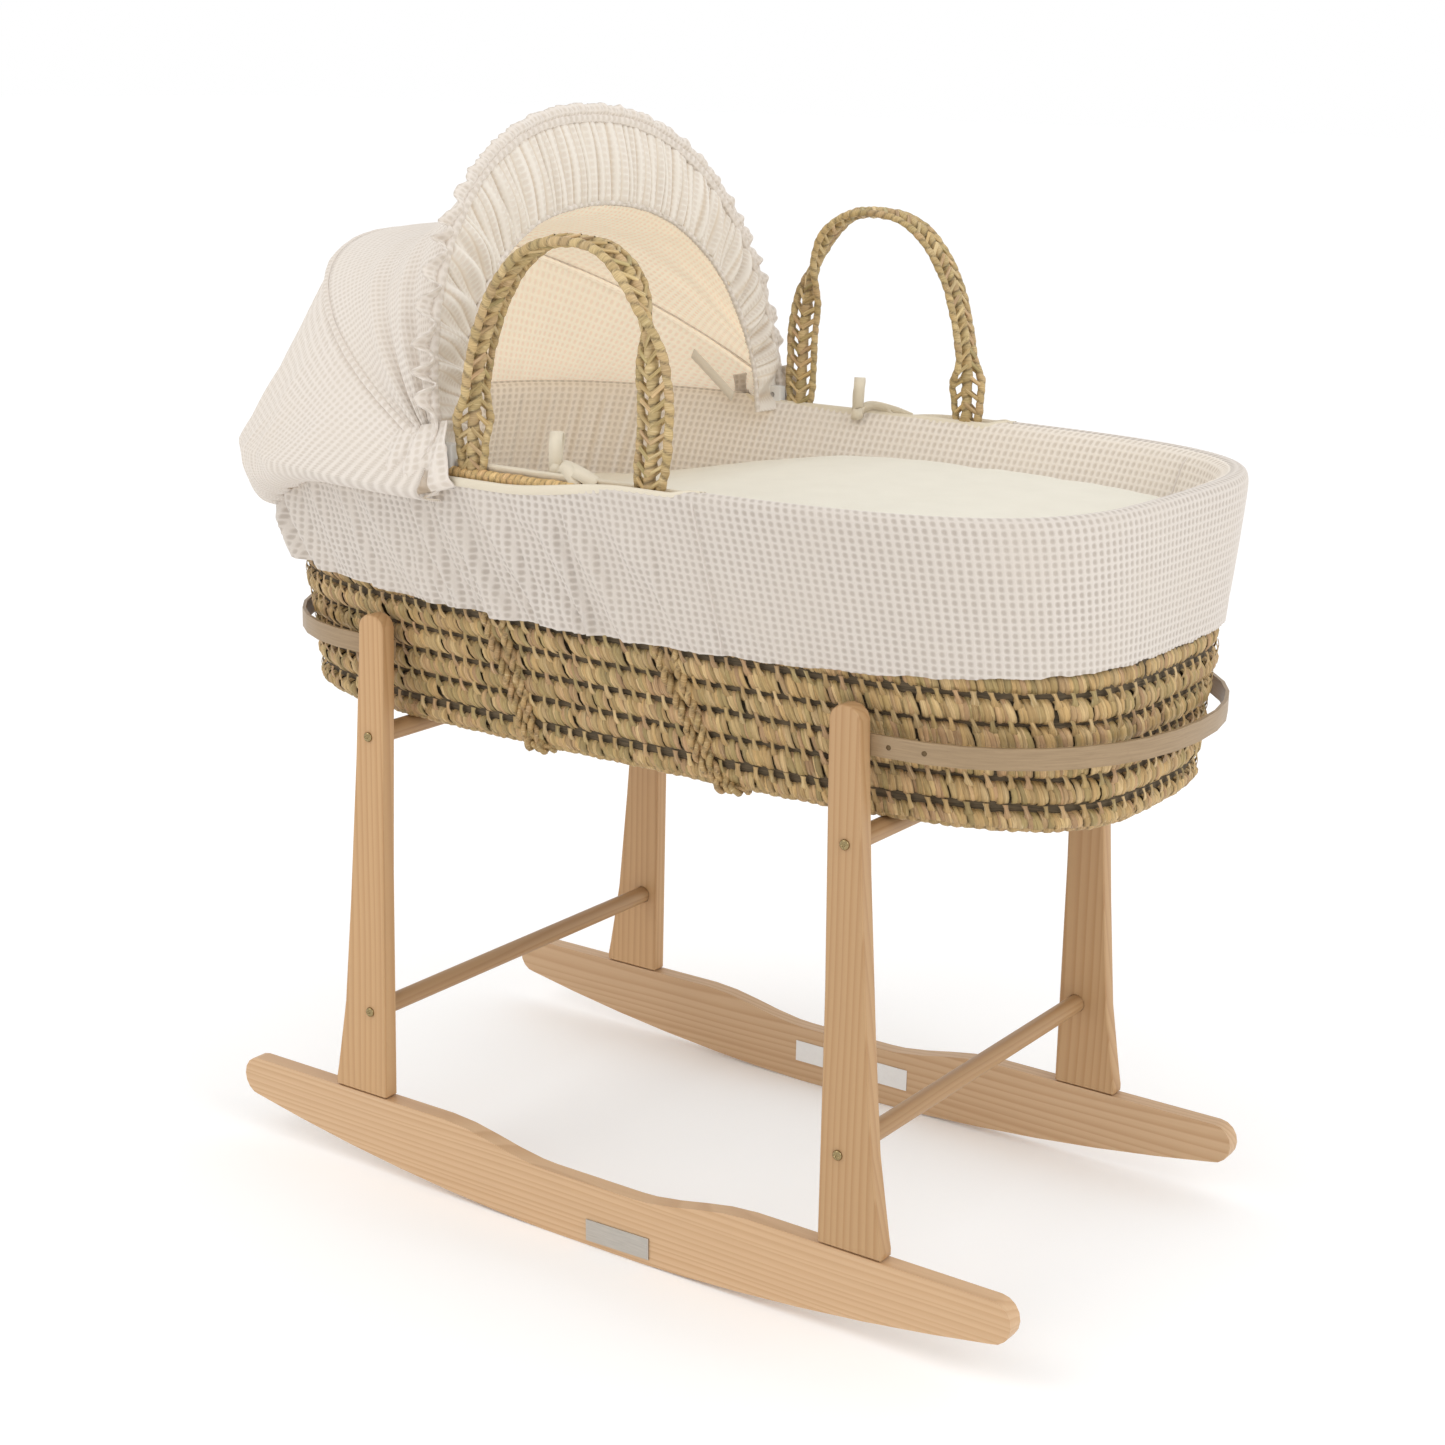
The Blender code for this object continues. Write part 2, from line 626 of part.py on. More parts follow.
def build_bedding():
    def mattress_low(x):
        return mattress_top(x) - MATTRESS

    def under_pad_top(x):
        return mattress_low(x) - 0.001

    def floor_height(x):
        return BASE_Z + WALL + LINING_GAP + LINING_FLOOR + 0.001

    pad("mattress", mattress_low, mattress_top, JERSEY, 0.001, 0.014, 0.005)
    pad("under_pad", floor_height, under_pad_top, WADDING, 0.0, 0.012, 0.012)


# --- Handles --------------------------------------------------------------------------------------


def handle_path():
    """Points along the near handle's middle line, from its head leg to its foot leg."""
    low_x, high_x = HANDLE_X
    middle = (low_x + high_x) / 2
    half = (high_x - low_x) / 2
    height = HANDLE_TOP - HANDLE_Z
    stations = []
    steps = 22
    for k in range(steps + 1):
        angle = math.pi * (1 - k / steps)
        c, s = math.cos(angle), math.sin(angle)
        rise = height * s ** (2 / 2.5)
        x = middle + half * math.copysign(abs(c) ** (2 / 2.5), c)
        x += HANDLE_LEAN_X * (rise / height) ** 2
        stations.append(Vector((x, -HANDLE_Y, HANDLE_Z + 0.001 + rise)))
    return stations


def strap_sections(stations):
    """Rectangular sections along the stations: flat to the wall at both feet, and flat to the hand on top."""
    rings = []
    for k, at in enumerate(stations):
        before = stations[max(k - 1, 0)]
        after = stations[min(k + 1, len(stations) - 1)]
        along = (after - before).normalized()
        rise = at.z - HANDLE_Z
        across_wall = Vector((0, 1, 0)).cross(along)
        turn = smooth_step((rise - 0.014) / 0.05)
        if at.x > 0:
            turn = smooth_step((rise - 0.075) / 0.09)
        wide = (across_wall * (1 - turn) + Vector((0, 1, 0)) * turn).normalized()
        thin = along.cross(wide).normalized()
        w = HANDLE_WIDTH / 2 * (0.55 + 0.45 * smooth_step(rise / 0.02))
        t = HANDLE_THICK / 2
        rings.append([at + wide * w * i + thin * t * j for i, j in ((-1, -1), (1, -1), (1, 1), (-1, 1))])
    return rings


def build_handles():
    rings = strap_sections(handle_path())
    axis_point = (0, -HANDLE_Y, HANDLE_Z)
    near = loft("handle_near", rings, PALM)
    move_origin(near, axis_point)
    # the far handle is the same braid, turned half round about the middle of the handles
    middle = sum(HANDLE_X) / 2
    turned_rings = [[Vector((2 * middle - p.x, -p.y, p.z)) for p in ring_points] for ring_points in rings]
    far = loft("handle_far", turned_rings, PALM)
    move_origin(far, (0, HANDLE_Y, HANDLE_Z))


# --- Hood -----------------------------------------------------------------------------------------


def arch(theta, angle, half, reach, power, offset=0.0):
    """A point of a hood arch. theta runs from 0 at the near pivot to pi at the far one; angle is its rise."""
    c, s = math.cos(theta), math.sin(theta)
    y = -(half + offset) * math.copysign(abs(c) ** (2 / power), c)
    out = (reach + offset) * abs(s) ** (2 / power)
    return Vector((PIVOT_X - out * math.cos(angle), y, PIVOT_Z + out * math.sin(angle)))


def hood_wire(name, angle, half, reach, power):
    """A wire arch with an eye round each pivot pin."""
    direction = Vector((-math.cos(angle), 0, math.sin(angle)))
    normal = Vector((math.sin(angle), 0, math.cos(angle)))
    near = Vector((PIVOT_X, -half, PIVOT_Z))
    eye = []
    for k in range(8):
        turn = math.radians(-150 + 40 * k)
        eye.append(near - direction * EYE_R * math.cos(turn) - normal * EYE_R * math.sin(turn))
    thetas = [math.pi * k / 22 for k in range(1, 22)]
    body = [arch(theta, angle, half, reach, power) for theta in thetas]
    far_eye = [Vector((p.x, -p.y, p.z)) for p in reversed(eye)]
    return tube(name, eye + body + far_eye, WIRE_R, STEEL, sides=1)


def ring_between(name, inner, outer, thickness, finish, steps=36):
    """A flat band in the front hoop's plane, between two arches."""
    rings = []
    face = Vector((math.sin(FRONT_ANGLE), 0, math.cos(FRONT_ANGLE))) * thickness / 2
    for k in range(steps + 1):
        theta = math.radians(5) + math.radians(170) * k / steps
        low, high = inner(theta), outer(theta)
        rings.append([low - face, high - face, high + face, low + face])
    return loft(name, rings, finish)


def build_hood():
    for way, near in ((-1, "near"), (1, "far")):
        y = sorted((way * BRACKET_Y[0], way * BRACKET_Y[1]))
        low = (PIVOT_X - 0.009, y[0], BASKET_TOP + 0.0006)
        high = (PIVOT_X + 0.009, y[1], PIVOT_Z + 0.0085)
        bracket = box(f"hood_bracket_{near}", low, high, PLASTIC, bevel=0.002)
        through = [(PIVOT_X, way * (edge + over), PIVOT_Z) for edge, over in zip(BRACKET_Y, (-0.002, 0.0025))]
        hole(bracket, *through, PIN_R + GAP, 12)
        profile = [(0.0, 0.0230), (0.0042, 0.0228), (0.0042, 0.0205)]
        profile += [(PIN_R, 0.0205), (PIN_R, 0.0), (0.0, 0.0)]
        inner_end = (PIVOT_X, way * (BRACKET_Y[0] - 0.0005), PIVOT_Z)
        turned(f"hood_pin_{near}", profile, inner_end, (0, way, 0), STEEL, sides=14)

    hood_wire("hood_wire_front", FRONT_ANGLE, FRONT_Y, FRONT_REACH, FRONT_POWER)
    hood_wire("hood_wire_rear", REAR_ANGLE, REAR_Y, REAR_REACH, REAR_POWER)

    def wire_at(offset):
        return lambda theta: arch(theta, FRONT_ANGLE, FRONT_Y, FRONT_REACH, FRONT_POWER, offset)

    def elastic(theta):
        return arch(theta, FRONT_ANGLE, BRIM_Y, BRIM_REACH, FRONT_POWER)

    ring_between("hood_brim", elastic, wire_at(-WIRE_R - 0.001), 0.003, WAFFLE)
    ring_between("hood_frill", wire_at(WIRE_R + 0.001), wire_at(FRILL), 0.005, WAFFLE)
    build_canopy()


def back_panel_point(theta, t, first, last, above_rear):
    """A point of the back panel: it swells out from the rear wire, then tucks in to the elastic hem."""
    start = arch(theta, REAR_ANGLE, REAR_Y, REAR_REACH, REAR_POWER) - above_rear * 0.0045
    along = 0.12 + 0.88 * min(smooth_step((theta - first) / 1.1), smooth_step((last - theta) / 1.1))
    hem_angle = math.pi / 2 + 0.33 + (math.pi - 0.66) * (math.pi - theta) / math.pi
    aside = smooth_step((abs(hem_angle - math.pi) - 0.35) / 0.85)
    hem_z = HOOD_HEM_HEAD_Z + (HOOD_HEM_Z - HOOD_HEM_HEAD_Z) * aside
    hem = Vector(rim_point(hem_angle, hem_z, 0.0045 + 0.002))
    swell = Vector(rim_point(hem_angle, 0.655, 0.016 + 0.010 * along))
    lift = Vector((swell.x, swell.y, 0.634 + 0.004 * along))
    if t < 0.5:
        u = t / 0.5
        return start * (1 - u) ** 2 + (start * 0.3 + lift * 0.7) * 2 * u * (1 - u) + lift * u * u
    u = (t - 0.5) / 0.5
    low = Vector((swell.x, swell.y, hem_z + 0.006))
    return lift * (1 - u) ** 2 + low * 2 * u * (1 - u) + hem * u * u


def build_canopy():
    """The fabric: a front panel between the two wires, and a back panel from the rear wire to the hem."""
    columns = [math.radians(9) + math.radians(162) * k / 24 for k in range(25)]
    behind_front = Vector((-math.sin(FRONT_ANGLE), 0, -math.cos(FRONT_ANGLE)))
    above_rear = Vector((math.sin(REAR_ANGLE), 0, math.cos(REAR_ANGLE)))
    rows = []
    for step in range(9):
        t = step / 8
        angle = FRONT_ANGLE + (REAR_ANGLE - FRONT_ANGLE) * t
        row = []
        for theta in columns:
            half = FRONT_Y + (REAR_Y - FRONT_Y) * t + 0.001
            power = FRONT_POWER + (REAR_POWER - FRONT_POWER) * t
            sag = 0.074 * math.sin(math.pi * t) * math.sin(theta) ** 2
            reach = FRONT_REACH + (REAR_REACH - FRONT_REACH) * t - sag
            clear = behind_front * (1 - t) + above_rear * t
            row.append(arch(theta, angle, half, reach, power) + clear * 0.0045)
        rows.append(row)
    sheet("canopy_front", rows, WAFFLE, CANOPY, 1)

    rows = []
    for step in range(8):
        ends = columns[0], columns[-1]
        rows.append([back_panel_point(theta, step / 7, *ends, above_rear) for theta in columns])
    sheet("canopy_back", rows, WAFFLE, CANOPY, 1)


def joint_axis(name, location, members):
    """An empty on a joint's axis, carrying the pieces that move about or along it."""
    axis = bpy.data.objects.new(name, None)
    axis.location = location
    axis.parent = ORIGIN
    BASSINET.objects.link(axis)
    for member in members:
        piece = bpy.data.objects[member]
        piece.location -= axis.location
        piece.parent = axis


def both(name, ends=("near", "far")):
    return [f"{name}_{end}" for end in ends]


build_stand()
build_basket()
build_bedding()
build_handles()
build_hood()

joint_axis("mattress_lift_axis", (0, 0, BASE_Z), ["mattress"])
hood_front = ["hood_wire_front", "hood_brim", "hood_frill", "canopy_front"]
joint_axis("hood_front_axis", (PIVOT_X, 0, PIVOT_Z), hood_front)
joint_axis("hood_rear_axis", (PIVOT_X, 0, PIVOT_Z), ["hood_wire_rear", "canopy_back"])
dressing = ["palm_basket", "lining", "skirt", "under_pad"] + both("skirt_tape") + both("lining_tape")
dressing += both("tie_bow") + both("rim_edge", ("head", "foot")) + both("under_strap", ("head", "foot"))
joint_axis("basket_lift_axis", (0, 0, BASE_Z), dressing + both("hood_bracket") + both("hood_pin"))
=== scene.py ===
"""Looks of the palm bassinet on its rocking stand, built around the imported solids.

Metres, in the row frame: X runs along the basket with the hood at -X, the near side is at -Y, and Z is up.
"""

import json
import math

import bpy
import numpy as np
from mathutils import Matrix, Vector
from mathutils.kdtree import KDTree

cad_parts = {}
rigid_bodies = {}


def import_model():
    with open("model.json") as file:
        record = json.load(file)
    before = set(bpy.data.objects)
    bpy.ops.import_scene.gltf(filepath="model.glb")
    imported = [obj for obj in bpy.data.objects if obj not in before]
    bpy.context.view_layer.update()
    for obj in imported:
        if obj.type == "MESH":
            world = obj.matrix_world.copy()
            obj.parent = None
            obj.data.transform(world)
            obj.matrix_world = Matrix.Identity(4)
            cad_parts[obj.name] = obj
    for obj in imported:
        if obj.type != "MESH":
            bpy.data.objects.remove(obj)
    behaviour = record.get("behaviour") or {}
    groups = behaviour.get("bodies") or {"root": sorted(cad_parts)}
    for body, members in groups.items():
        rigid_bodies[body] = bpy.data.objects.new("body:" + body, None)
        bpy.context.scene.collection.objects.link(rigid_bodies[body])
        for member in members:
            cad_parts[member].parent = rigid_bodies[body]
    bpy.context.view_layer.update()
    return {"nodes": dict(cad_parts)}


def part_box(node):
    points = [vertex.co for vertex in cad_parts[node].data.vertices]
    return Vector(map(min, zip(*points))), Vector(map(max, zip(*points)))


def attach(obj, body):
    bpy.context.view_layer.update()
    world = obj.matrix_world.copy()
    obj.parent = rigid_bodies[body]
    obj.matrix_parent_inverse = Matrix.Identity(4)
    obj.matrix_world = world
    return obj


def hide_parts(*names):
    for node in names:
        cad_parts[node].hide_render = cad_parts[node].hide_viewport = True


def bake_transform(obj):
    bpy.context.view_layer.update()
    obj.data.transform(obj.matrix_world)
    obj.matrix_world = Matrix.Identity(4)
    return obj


for leftover in list(bpy.data.objects):
    bpy.data.objects.remove(leftover)
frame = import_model()

# --- Sizes shared with the solids ------------------------------------------------------------------

SHIFT = 0.0044  # the stand's middle in X
EDGE_Z, RIM_Z, BASE_Z = 0.420, 0.6555, 0.4102
BASE_LENGTH_HALF, RIM_LENGTH_HALF = 0.3994, 0.4077
BASE_WIDTH_HALF, RIM_WIDTH_HALF = 0.1664, 0.2527
CORNER = 3.6
HEM_Z = 0.524
GAP_HEAD_X, GAP_FOOT_X = -0.145 + SHIFT, 0.100 + SHIFT  # where the woven rim is bare, inside the handles
PIVOT = Vector((-0.126 + SHIFT, 0, 0.660))
FRONT_ANGLE, REAR_ANGLE = math.radians(80.5), math.radians(30.0)
FRONT_Y, REAR_Y = 0.2425, 0.2470
FRONT_REACH, REAR_REACH = 0.2565, 0.296
FRONT_POWER, REAR_POWER = 2.2, 2.0
CELL_WIDE, CELL_HIGH = 0.0075, 0.006  # one pit of the waffle cotton
CLOTH_THICK = 0.0012
ROUND_Z = 0.64  # the level at which places round the rim are measured


# --- Numbers ---------------------------------------------------------------------------------------


def smooth_step(t):
    t = np.clip(t, 0.0, 1.0)
    return t * t * (3 - 2 * t)


def rounded(c, power):
    return np.sign(c) * np.abs(c) ** (2 / power)


def wobble(x, seed, octaves=4):
    """A smooth wandering curve of x, about -1 to 1, that repeats nowhere near."""
    draw = np.random.default_rng(seed)
    total = np.zeros_like(np.asarray(x, float))
    for k in range(octaves):
        rate, phase = 1.7**k * draw.uniform(0.8, 1.25), draw.uniform(0, 2 * math.pi)
        total = total + np.sin(x * rate + phase) / (1 + 0.6 * k)
    return total / 2.2


def distance_along(points):
    """How far along a line of points each of them lies."""
    return np.concatenate([[0], np.cumsum(np.linalg.norm(np.diff(points, axis=0), axis=1))])


def full_turn(count):
    return np.linspace(0, 2 * math.pi, count, endpoint=False)


def paired(first, second):
    """Two arrays, broadcast to one shape, as the two parts of a last axis."""
    return np.stack(np.broadcast_arrays(first, second), -1)


def rings_round(side, up, phi):
    """Unit rings round a path, from its two cross directions."""
    return np.cos(phi)[None, :, None] * side[:, None] + np.sin(phi)[None, :, None] * up[:, None]


def outline(angle, z, offset=0.0):
    """The basket's level outline. Angle 0 is the foot end and a quarter turn is the far side."""
    t = np.clip((z - EDGE_Z) / (RIM_Z - EDGE_Z), 0.0, 1.0)
    a = BASE_LENGTH_HALF + (RIM_LENGTH_HALF - BASE_LENGTH_HALF) * t + offset
    b = BASE_WIDTH_HALF + (RIM_WIDTH_HALF - BASE_WIDTH_HALF) * t**1.4 + offset
    x = SHIFT - 0.0062 * (1 - t) + a * rounded(np.cos(angle), CORNER)
    y = b * rounded(np.sin(angle), CORNER)
    return np.stack([x, y, z + 0 * x], -1)


_u = np.linspace(0, 2 * math.pi, 6001)
TURNS = _u - 0.245 * np.sin(4 * _u)


def even_angles(z, fractions, offset=0.0):
    """Angles at these fractions of the way round the outline at height z, and its length."""
    points = outline(TURNS, z, offset)
    along = distance_along(points)
    return np.interp(np.mod(fractions, 1.0) * along[-1], along, TURNS), along[-1]


# --- Meshes ----------------------------------------------------------------------------------------


def make_object(name, verts, faces, looks, uvs, tints):
    """A smooth mesh object. uvs and tints are given per vertex."""
    mesh = bpy.data.meshes.new(name)
    mesh.from_pydata(np.asarray(verts, float).tolist(), [], np.asarray(faces).tolist())
    for look in looks:
        mesh.materials.append(look)
    corners = np.empty(len(mesh.loops), np.int32)
    mesh.loops.foreach_get("vertex_index", corners)
    layer = mesh.uv_layers.new(name="UVMap")
    layer.uv.foreach_set("vector", np.asarray(uvs, np.float32)[corners].ravel())
    layer = mesh.color_attributes.new("tint", "FLOAT_COLOR", "POINT")
    rgba = np.ones((len(tints), 4), np.float32)
    rgba[:, :3] = tints
    layer.data.foreach_set("color", rgba.ravel())
    mesh.shade_smooth()
    obj = bpy.data.objects.new(name, mesh)
    bpy.context.scene.collection.objects.link(obj)
    return obj


def grid_faces(rows, columns, closed=False):
    """Quads of a grid of vertices numbered row by row; closed joins each row's ends."""
    across = columns if closed else columns - 1
    r, c = np.meshgrid(np.arange(rows - 1), np.arange(across), indexing="ij")
    d = (c + 1) % columns
    quads = np.stack([r * columns + c, r * columns + d, (r + 1) * columns + d, (r + 1) * columns + c], -1)
    return quads.reshape(-1, 4)


class Bundle:
    """Grids of points that become one mesh object. Points are (grid, row, column, 3)."""

    def __init__(self):
        self.points, self.faces, self.uvs, self.tints, self.count = [], [], [], [], 0

    def add(self, points, uvs=None, tints=None, closed=False, flip=False):
        points = np.asarray(points, float)
        if points.ndim == 3:
            points = points[None]
        grids, rows, columns = points.shape[:3]
        faces = grid_faces(rows, columns, closed)
        if flip:
            faces = faces[:, ::-1]
        faces = faces[None] + (np.arange(grids) * rows * columns)[:, None, None] + self.count
        total = grids * rows * columns
        self.points.append(points.reshape(-1, 3))
        self.faces.append(faces.reshape(-1, 4))
        shape = (grids, rows, columns)
        uvs = np.zeros(2) if uvs is None else uvs
        self.uvs.append(np.broadcast_to(uvs, (*shape, 2)).reshape(-1, 2))
        tints = np.ones(3) if tints is None else tints
        self.tints.append(np.broadcast_to(tints, (*shape, 3)).reshape(-1, 3))
        self.count += total
        return self

    def make(self, name, *looks):
        points, uvs, tints = (np.concatenate(parts) for parts in (self.points, self.uvs, self.tints))
        return make_object(name, points, np.concatenate(self.faces), looks, uvs, tints)


def with_ends(rows):
    """The rows with the middle of the first and of the last added, which closes the ends of a tube."""
    first, last = rows[:1].mean(axis=1, keepdims=True), rows[-1:].mean(axis=1, keepdims=True)
    return np.concatenate([0 * rows[:1] + first, rows, 0 * rows[-1:] + last])


def add_tube(bundle, points, uvs, tints=None):
    bundle.add(with_ends(points), with_ends(uvs), None if tints is None else with_ends(tints), closed=True)


def grid_object(name, points, looks, uvs=None, closed=False, flip=False):
    return Bundle().add(points, uvs, closed=closed, flip=flip).make(name, *looks)


def finish_piece(obj, slot, body, *nodes):
    """Hangs the piece on its body and hides the solids it stands for. The slot is not used."""
    if nodes:
        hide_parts(*nodes)
    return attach(obj, body)


def thicken(obj, thickness, offset=0.0, inner_look=None):
    """Gives an open sheet its thickness, with its own look on the inner face if given."""
    if inner_look is not None:
        obj.data.materials.append(inner_look)
    shell = obj.modifiers.new("thickness", "SOLIDIFY")
    shell.thickness = thickness
    shell.offset = offset
    shell.use_even_offset = False
    if inner_look is not None:
        shell.material_offset = len(obj.data.materials) - 1
    apply_modifiers(obj)


def apply_modifiers(obj):
    bpy.context.view_layer.update()
    graph = bpy.context.evaluated_depsgraph_get()
    mesh = bpy.data.meshes.new_from_object(obj.evaluated_get(graph))
    obj.modifiers.clear()
    obj.data = mesh


def sweep_frames(path):
    """Tangents and two cross directions along a path, carried without twist."""
    path = np.asarray(path, float)
    tangents = np.gradient(path, axis=0)
    tangents /= np.linalg.norm(tangents, axis=1)[:, None]
    first = np.cross(tangents[0], (0, 0, 1))
    if np.linalg.norm(first) < 0.1:
        first = np.cross(tangents[0], (0, 1, 0))
    sides = [first / np.linalg.norm(first)]
    for t in tangents[1:]:
        side = sides[-1] - t * np.dot(sides[-1], t)
        sides.append(side / np.linalg.norm(side))
    sides = np.array(sides)
    return tangents, sides, np.cross(tangents, sides)


def resample(path, step):
    """The same path with points a step apart, and the distance along it."""
    path = np.asarray(path, float)
    along = distance_along(path)
    count = max(int(round(along[-1] / step)), 2)
    at = np.linspace(0, along[-1], count + 1)
    return np.stack([np.interp(at, along, path[:, k]) for k in range(3)], 1), at


def smooth_path(points, count=200):
    """A smooth curve through the points."""
    points = np.asarray(points, float)
    padded = np.vstack([2 * points[0] - points[1], points, 2 * points[-1] - points[-2]])
    t = np.linspace(0, len(points) - 1 - 1e-9, count)
    k = t.astype(int)
    u = (t - k)[:, None]
    p0, p1, p2, p3 = padded[k], padded[k + 1], padded[k + 2], padded[k + 3]
    return 0.5 * (
        2 * p1 + (p2 - p0) * u + (2 * p0 - 5 * p1 + 4 * p2 - p3) * u**2 + (3 * p1 - p0 - 3 * p2 + p3) * u**3
    )


def sharp_copy(node, look, angle=50, body="stand"):
    """The solid again in the look's material: curves shaded smooth, and edges past angle sharp."""
    source = frame["nodes"][node]
    mesh = source.data.copy()
    obj = bpy.data.objects.new(node + "_finish", mesh)
    bpy.context.scene.collection.objects.link(obj)
    if mesh.has_custom_normals:
        bpy.context.view_layer.objects.active = obj
        with bpy.context.temp_override(object=obj, active_object=obj, selected_objects=[obj]):
            bpy.ops.mesh.customdata_custom_splitnormals_clear()
    weld = obj.modifiers.new("weld", "WELD")
    weld.merge_threshold = 0.00001
    apply_modifiers(obj)
    obj.data.shade_smooth()
    obj.data.set_sharp_from_angle(angle=math.radians(angle))
    normals = obj.modifiers.new("flat_faces", "WEIGHTED_NORMAL")
    normals.keep_sharp = True
    apply_modifiers(obj)
    obj.data.materials.clear()
    obj.data.materials.append(look)
    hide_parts(node)
    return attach(obj, body)


# --- Materials -------------------------------------------------------------------------------------


class Look:
    """A material, with a short way to add its nodes: a socket given is linked, a value is set."""

    def __init__(self, name, roughness, metallic=0.0, specular=0.4, sheen=0.0):
        self.material = bpy.data.materials.new(name)
        self.material.use_nodes = True
        self.tree = self.material.node_tree
        self.shader = self.tree.nodes["Principled BSDF"]
        self.shader.inputs["Roughness"].default_value = roughness
        self.shader.inputs["Metallic"].default_value = metallic
        self.shader.inputs["Specular IOR Level"].default_value = specular
        if sheen:
            self.shader.inputs["Sheen Weight"].default_value = sheen
            self.shader.inputs["Sheen Roughness"].default_value = 0.5

    def put(self, socket, value):
        if isinstance(value, bpy.types.NodeSocket):
            self.tree.links.new(value, socket)
        elif value is not None:
            socket.default_value = value

    def add(self, kind, *inputs, **settings):
        node = self.tree.nodes.new("ShaderNode" + kind)
        for key, value in settings.items():
            setattr(node, key, value)
        for socket, value in zip(node.inputs, inputs):
            self.put(socket, value)
        return node.outputs[0]

    def math(self, operation, first, second=0.0):
        return self.add("Math", first, second, operation=operation)

    def times(self, first, second):
        return self.math("MULTIPLY", first, second)

    def plus(self, first, second):
        return self.math("ADD", first, second)

    def wave(self, value, rate):
        """The size of the sine of value at this rate: 0 to 1."""
        return self.math("ABSOLUTE", self.math("SINE", self.times(value, rate)))

    def glow(self, colour, strength):
        self.shader.inputs["Emission Color"].default_value = (*colour, 1)
        self.shader.inputs["Emission Strength"].default_value = strength

    def mix(self, factor, first, second):
        return self.add("MixRGB", factor, first, second, blend_type="MIX")

    def attribute(self, name):
        node = self.tree.nodes.new("ShaderNodeAttribute")
        node.attribute_name = name
        return node.outputs["Color"]

    def coords(self, kind="Object"):
        return self.tree.nodes.new("ShaderNodeTexCoord").outputs[kind]

    def scaled(self, vector, scale, location=(0, 0, 0), rotation=(0, 0, 0)):
        node = self.tree.nodes.new("ShaderNodeMapping")
        self.put(node.inputs["Vector"], vector)
        node.inputs["Location"].default_value = location
        node.inputs["Rotation"].default_value = rotation
        node.inputs["Scale"].default_value = scale
        return node.outputs[0]

    def noise(self, vector, scale, detail=2.0, roughness=0.5):
        node = self.tree.nodes.new("ShaderNodeTexNoise")
        self.put(node.inputs["Vector"], vector)
        node.inputs["Scale"].default_value = scale
        node.inputs["Detail"].default_value = detail
        node.inputs["Roughness"].default_value = roughness
        return node.outputs["Fac"]

    def ramp(self, factor, *stops):
        node = self.tree.nodes.new("ShaderNodeValToRGB")
        self.put(node.inputs[0], factor)
        elements = node.color_ramp.elements
        while len(elements) < len(stops):
            elements.new(0.5)
        for element, (position, colour) in zip(elements, stops):
            element.position = position
            element.color = (*colour, 1)
        return node.outputs["Color"]

    def band(self, factor, low, high, start=0.0, end=1.0):
        """factor mapped from low..high to start..end, and held there beyond."""
        node = self.tree.nodes.new("ShaderNodeMapRange")
        for socket, value in zip(node.inputs, (factor, low, high, start, end)):
            self.put(socket, value)
        return node.outputs[0]

    def tinted(self, base, value, limits, colour):
        """base, mixed with a colour by value in these four limits of band."""
        return self.mix(self.band(value, *limits), base, colour)

    def split(self, vector):
        node = self.tree.nodes.new("ShaderNodeSeparateXYZ")
        self.put(node.inputs[0], vector)
        return node.outputs

    def finish(self, colour=None, height=None, strength=0.5, distance=0.001, roughness=None):
        self.put(self.shader.inputs["Base Color"], colour)
        self.put(self.shader.inputs["Roughness"], roughness)
        if height is not None:
            bump = self.tree.nodes.new("ShaderNodeBump")
            bump.inputs["Strength"].default_value = strength
            bump.inputs["Distance"].default_value = distance
            self.put(bump.inputs["Height"], height)
            self.put(self.shader.inputs["Normal"], bump.outputs[0])
        return self.material


def pine(name, along, ring, tone=1.0, warm=1.0):
    """Plain-sawn pine. along is 0, 1 or 2 for X, Y or Z; ring is the growth rings' centre."""
    look = Look(name, 0.46, specular=0.35)
    place = look.coords()
    stretch = [14.0, 14.0, 14.0]
    stretch[along] = 1.6
    drift = look.noise(look.scaled(place, stretch, ring), 1.0, 2.0)
    parts = look.split(place)
    across = [k for k in range(3) if k != along]
    squares = []
    for k, centre in zip(across, ring):
        away = look.math("SUBTRACT", parts[k], centre)
        squares.append(look.times(away, away))
    distance = look.math("SQRT", look.plus(*squares))
    distance = look.plus(distance, look.times(drift, 0.016))
    rings = look.times(distance, 190.0)
    uneven = look.noise(look.times(distance, 60.0), 1.0, 1.0)
    phase = look.math("FRACT", look.plus(rings, look.times(uneven, 1.5)))
    latewood = look.ramp(
        phase, (0.0, (0, 0, 0)), (0.35, (0.12, 0.12, 0.12)), (0.86, (1, 1, 1)), (1.0, (0.05, 0.05, 0.05))
    )
    fibre_scale = [420.0, 420.0, 420.0]
    fibre_scale[along] = 9.0
    fibres = look.noise(look.scaled(place, fibre_scale), 1.0, 3.0, 0.6)
    broad = look.noise(look.scaled(place, stretch), 0.9, 1.0)
    early = [0.66 * tone, 0.45 * tone * warm, 0.270 * tone * warm**3, 1]
    late = [0.48 * tone, 0.27 * tone * warm, 0.125 * tone * warm**3, 1]
    colour = look.mix(look.times(latewood, 0.62), early, late)
    colour = look.tinted(
        colour, broad, (0.3, 0.7, 0.0, 0.35), (0.58 * tone, 0.375 * tone * warm, 0.21 * tone * warm**3, 1)
    )
    colour = look.tinted(colour, fibres, (0.35, 0.75, 0.0, 0.16), (0.42, 0.25, 0.13, 1))
    rough = look.band(latewood, 0.0, 1.0, 0.50, 0.40)
    height = look.plus(look.times(fibres, 0.5), look.times(latewood, 0.5))
    return look.finish(colour, height, 0.16, 0.0004, rough)


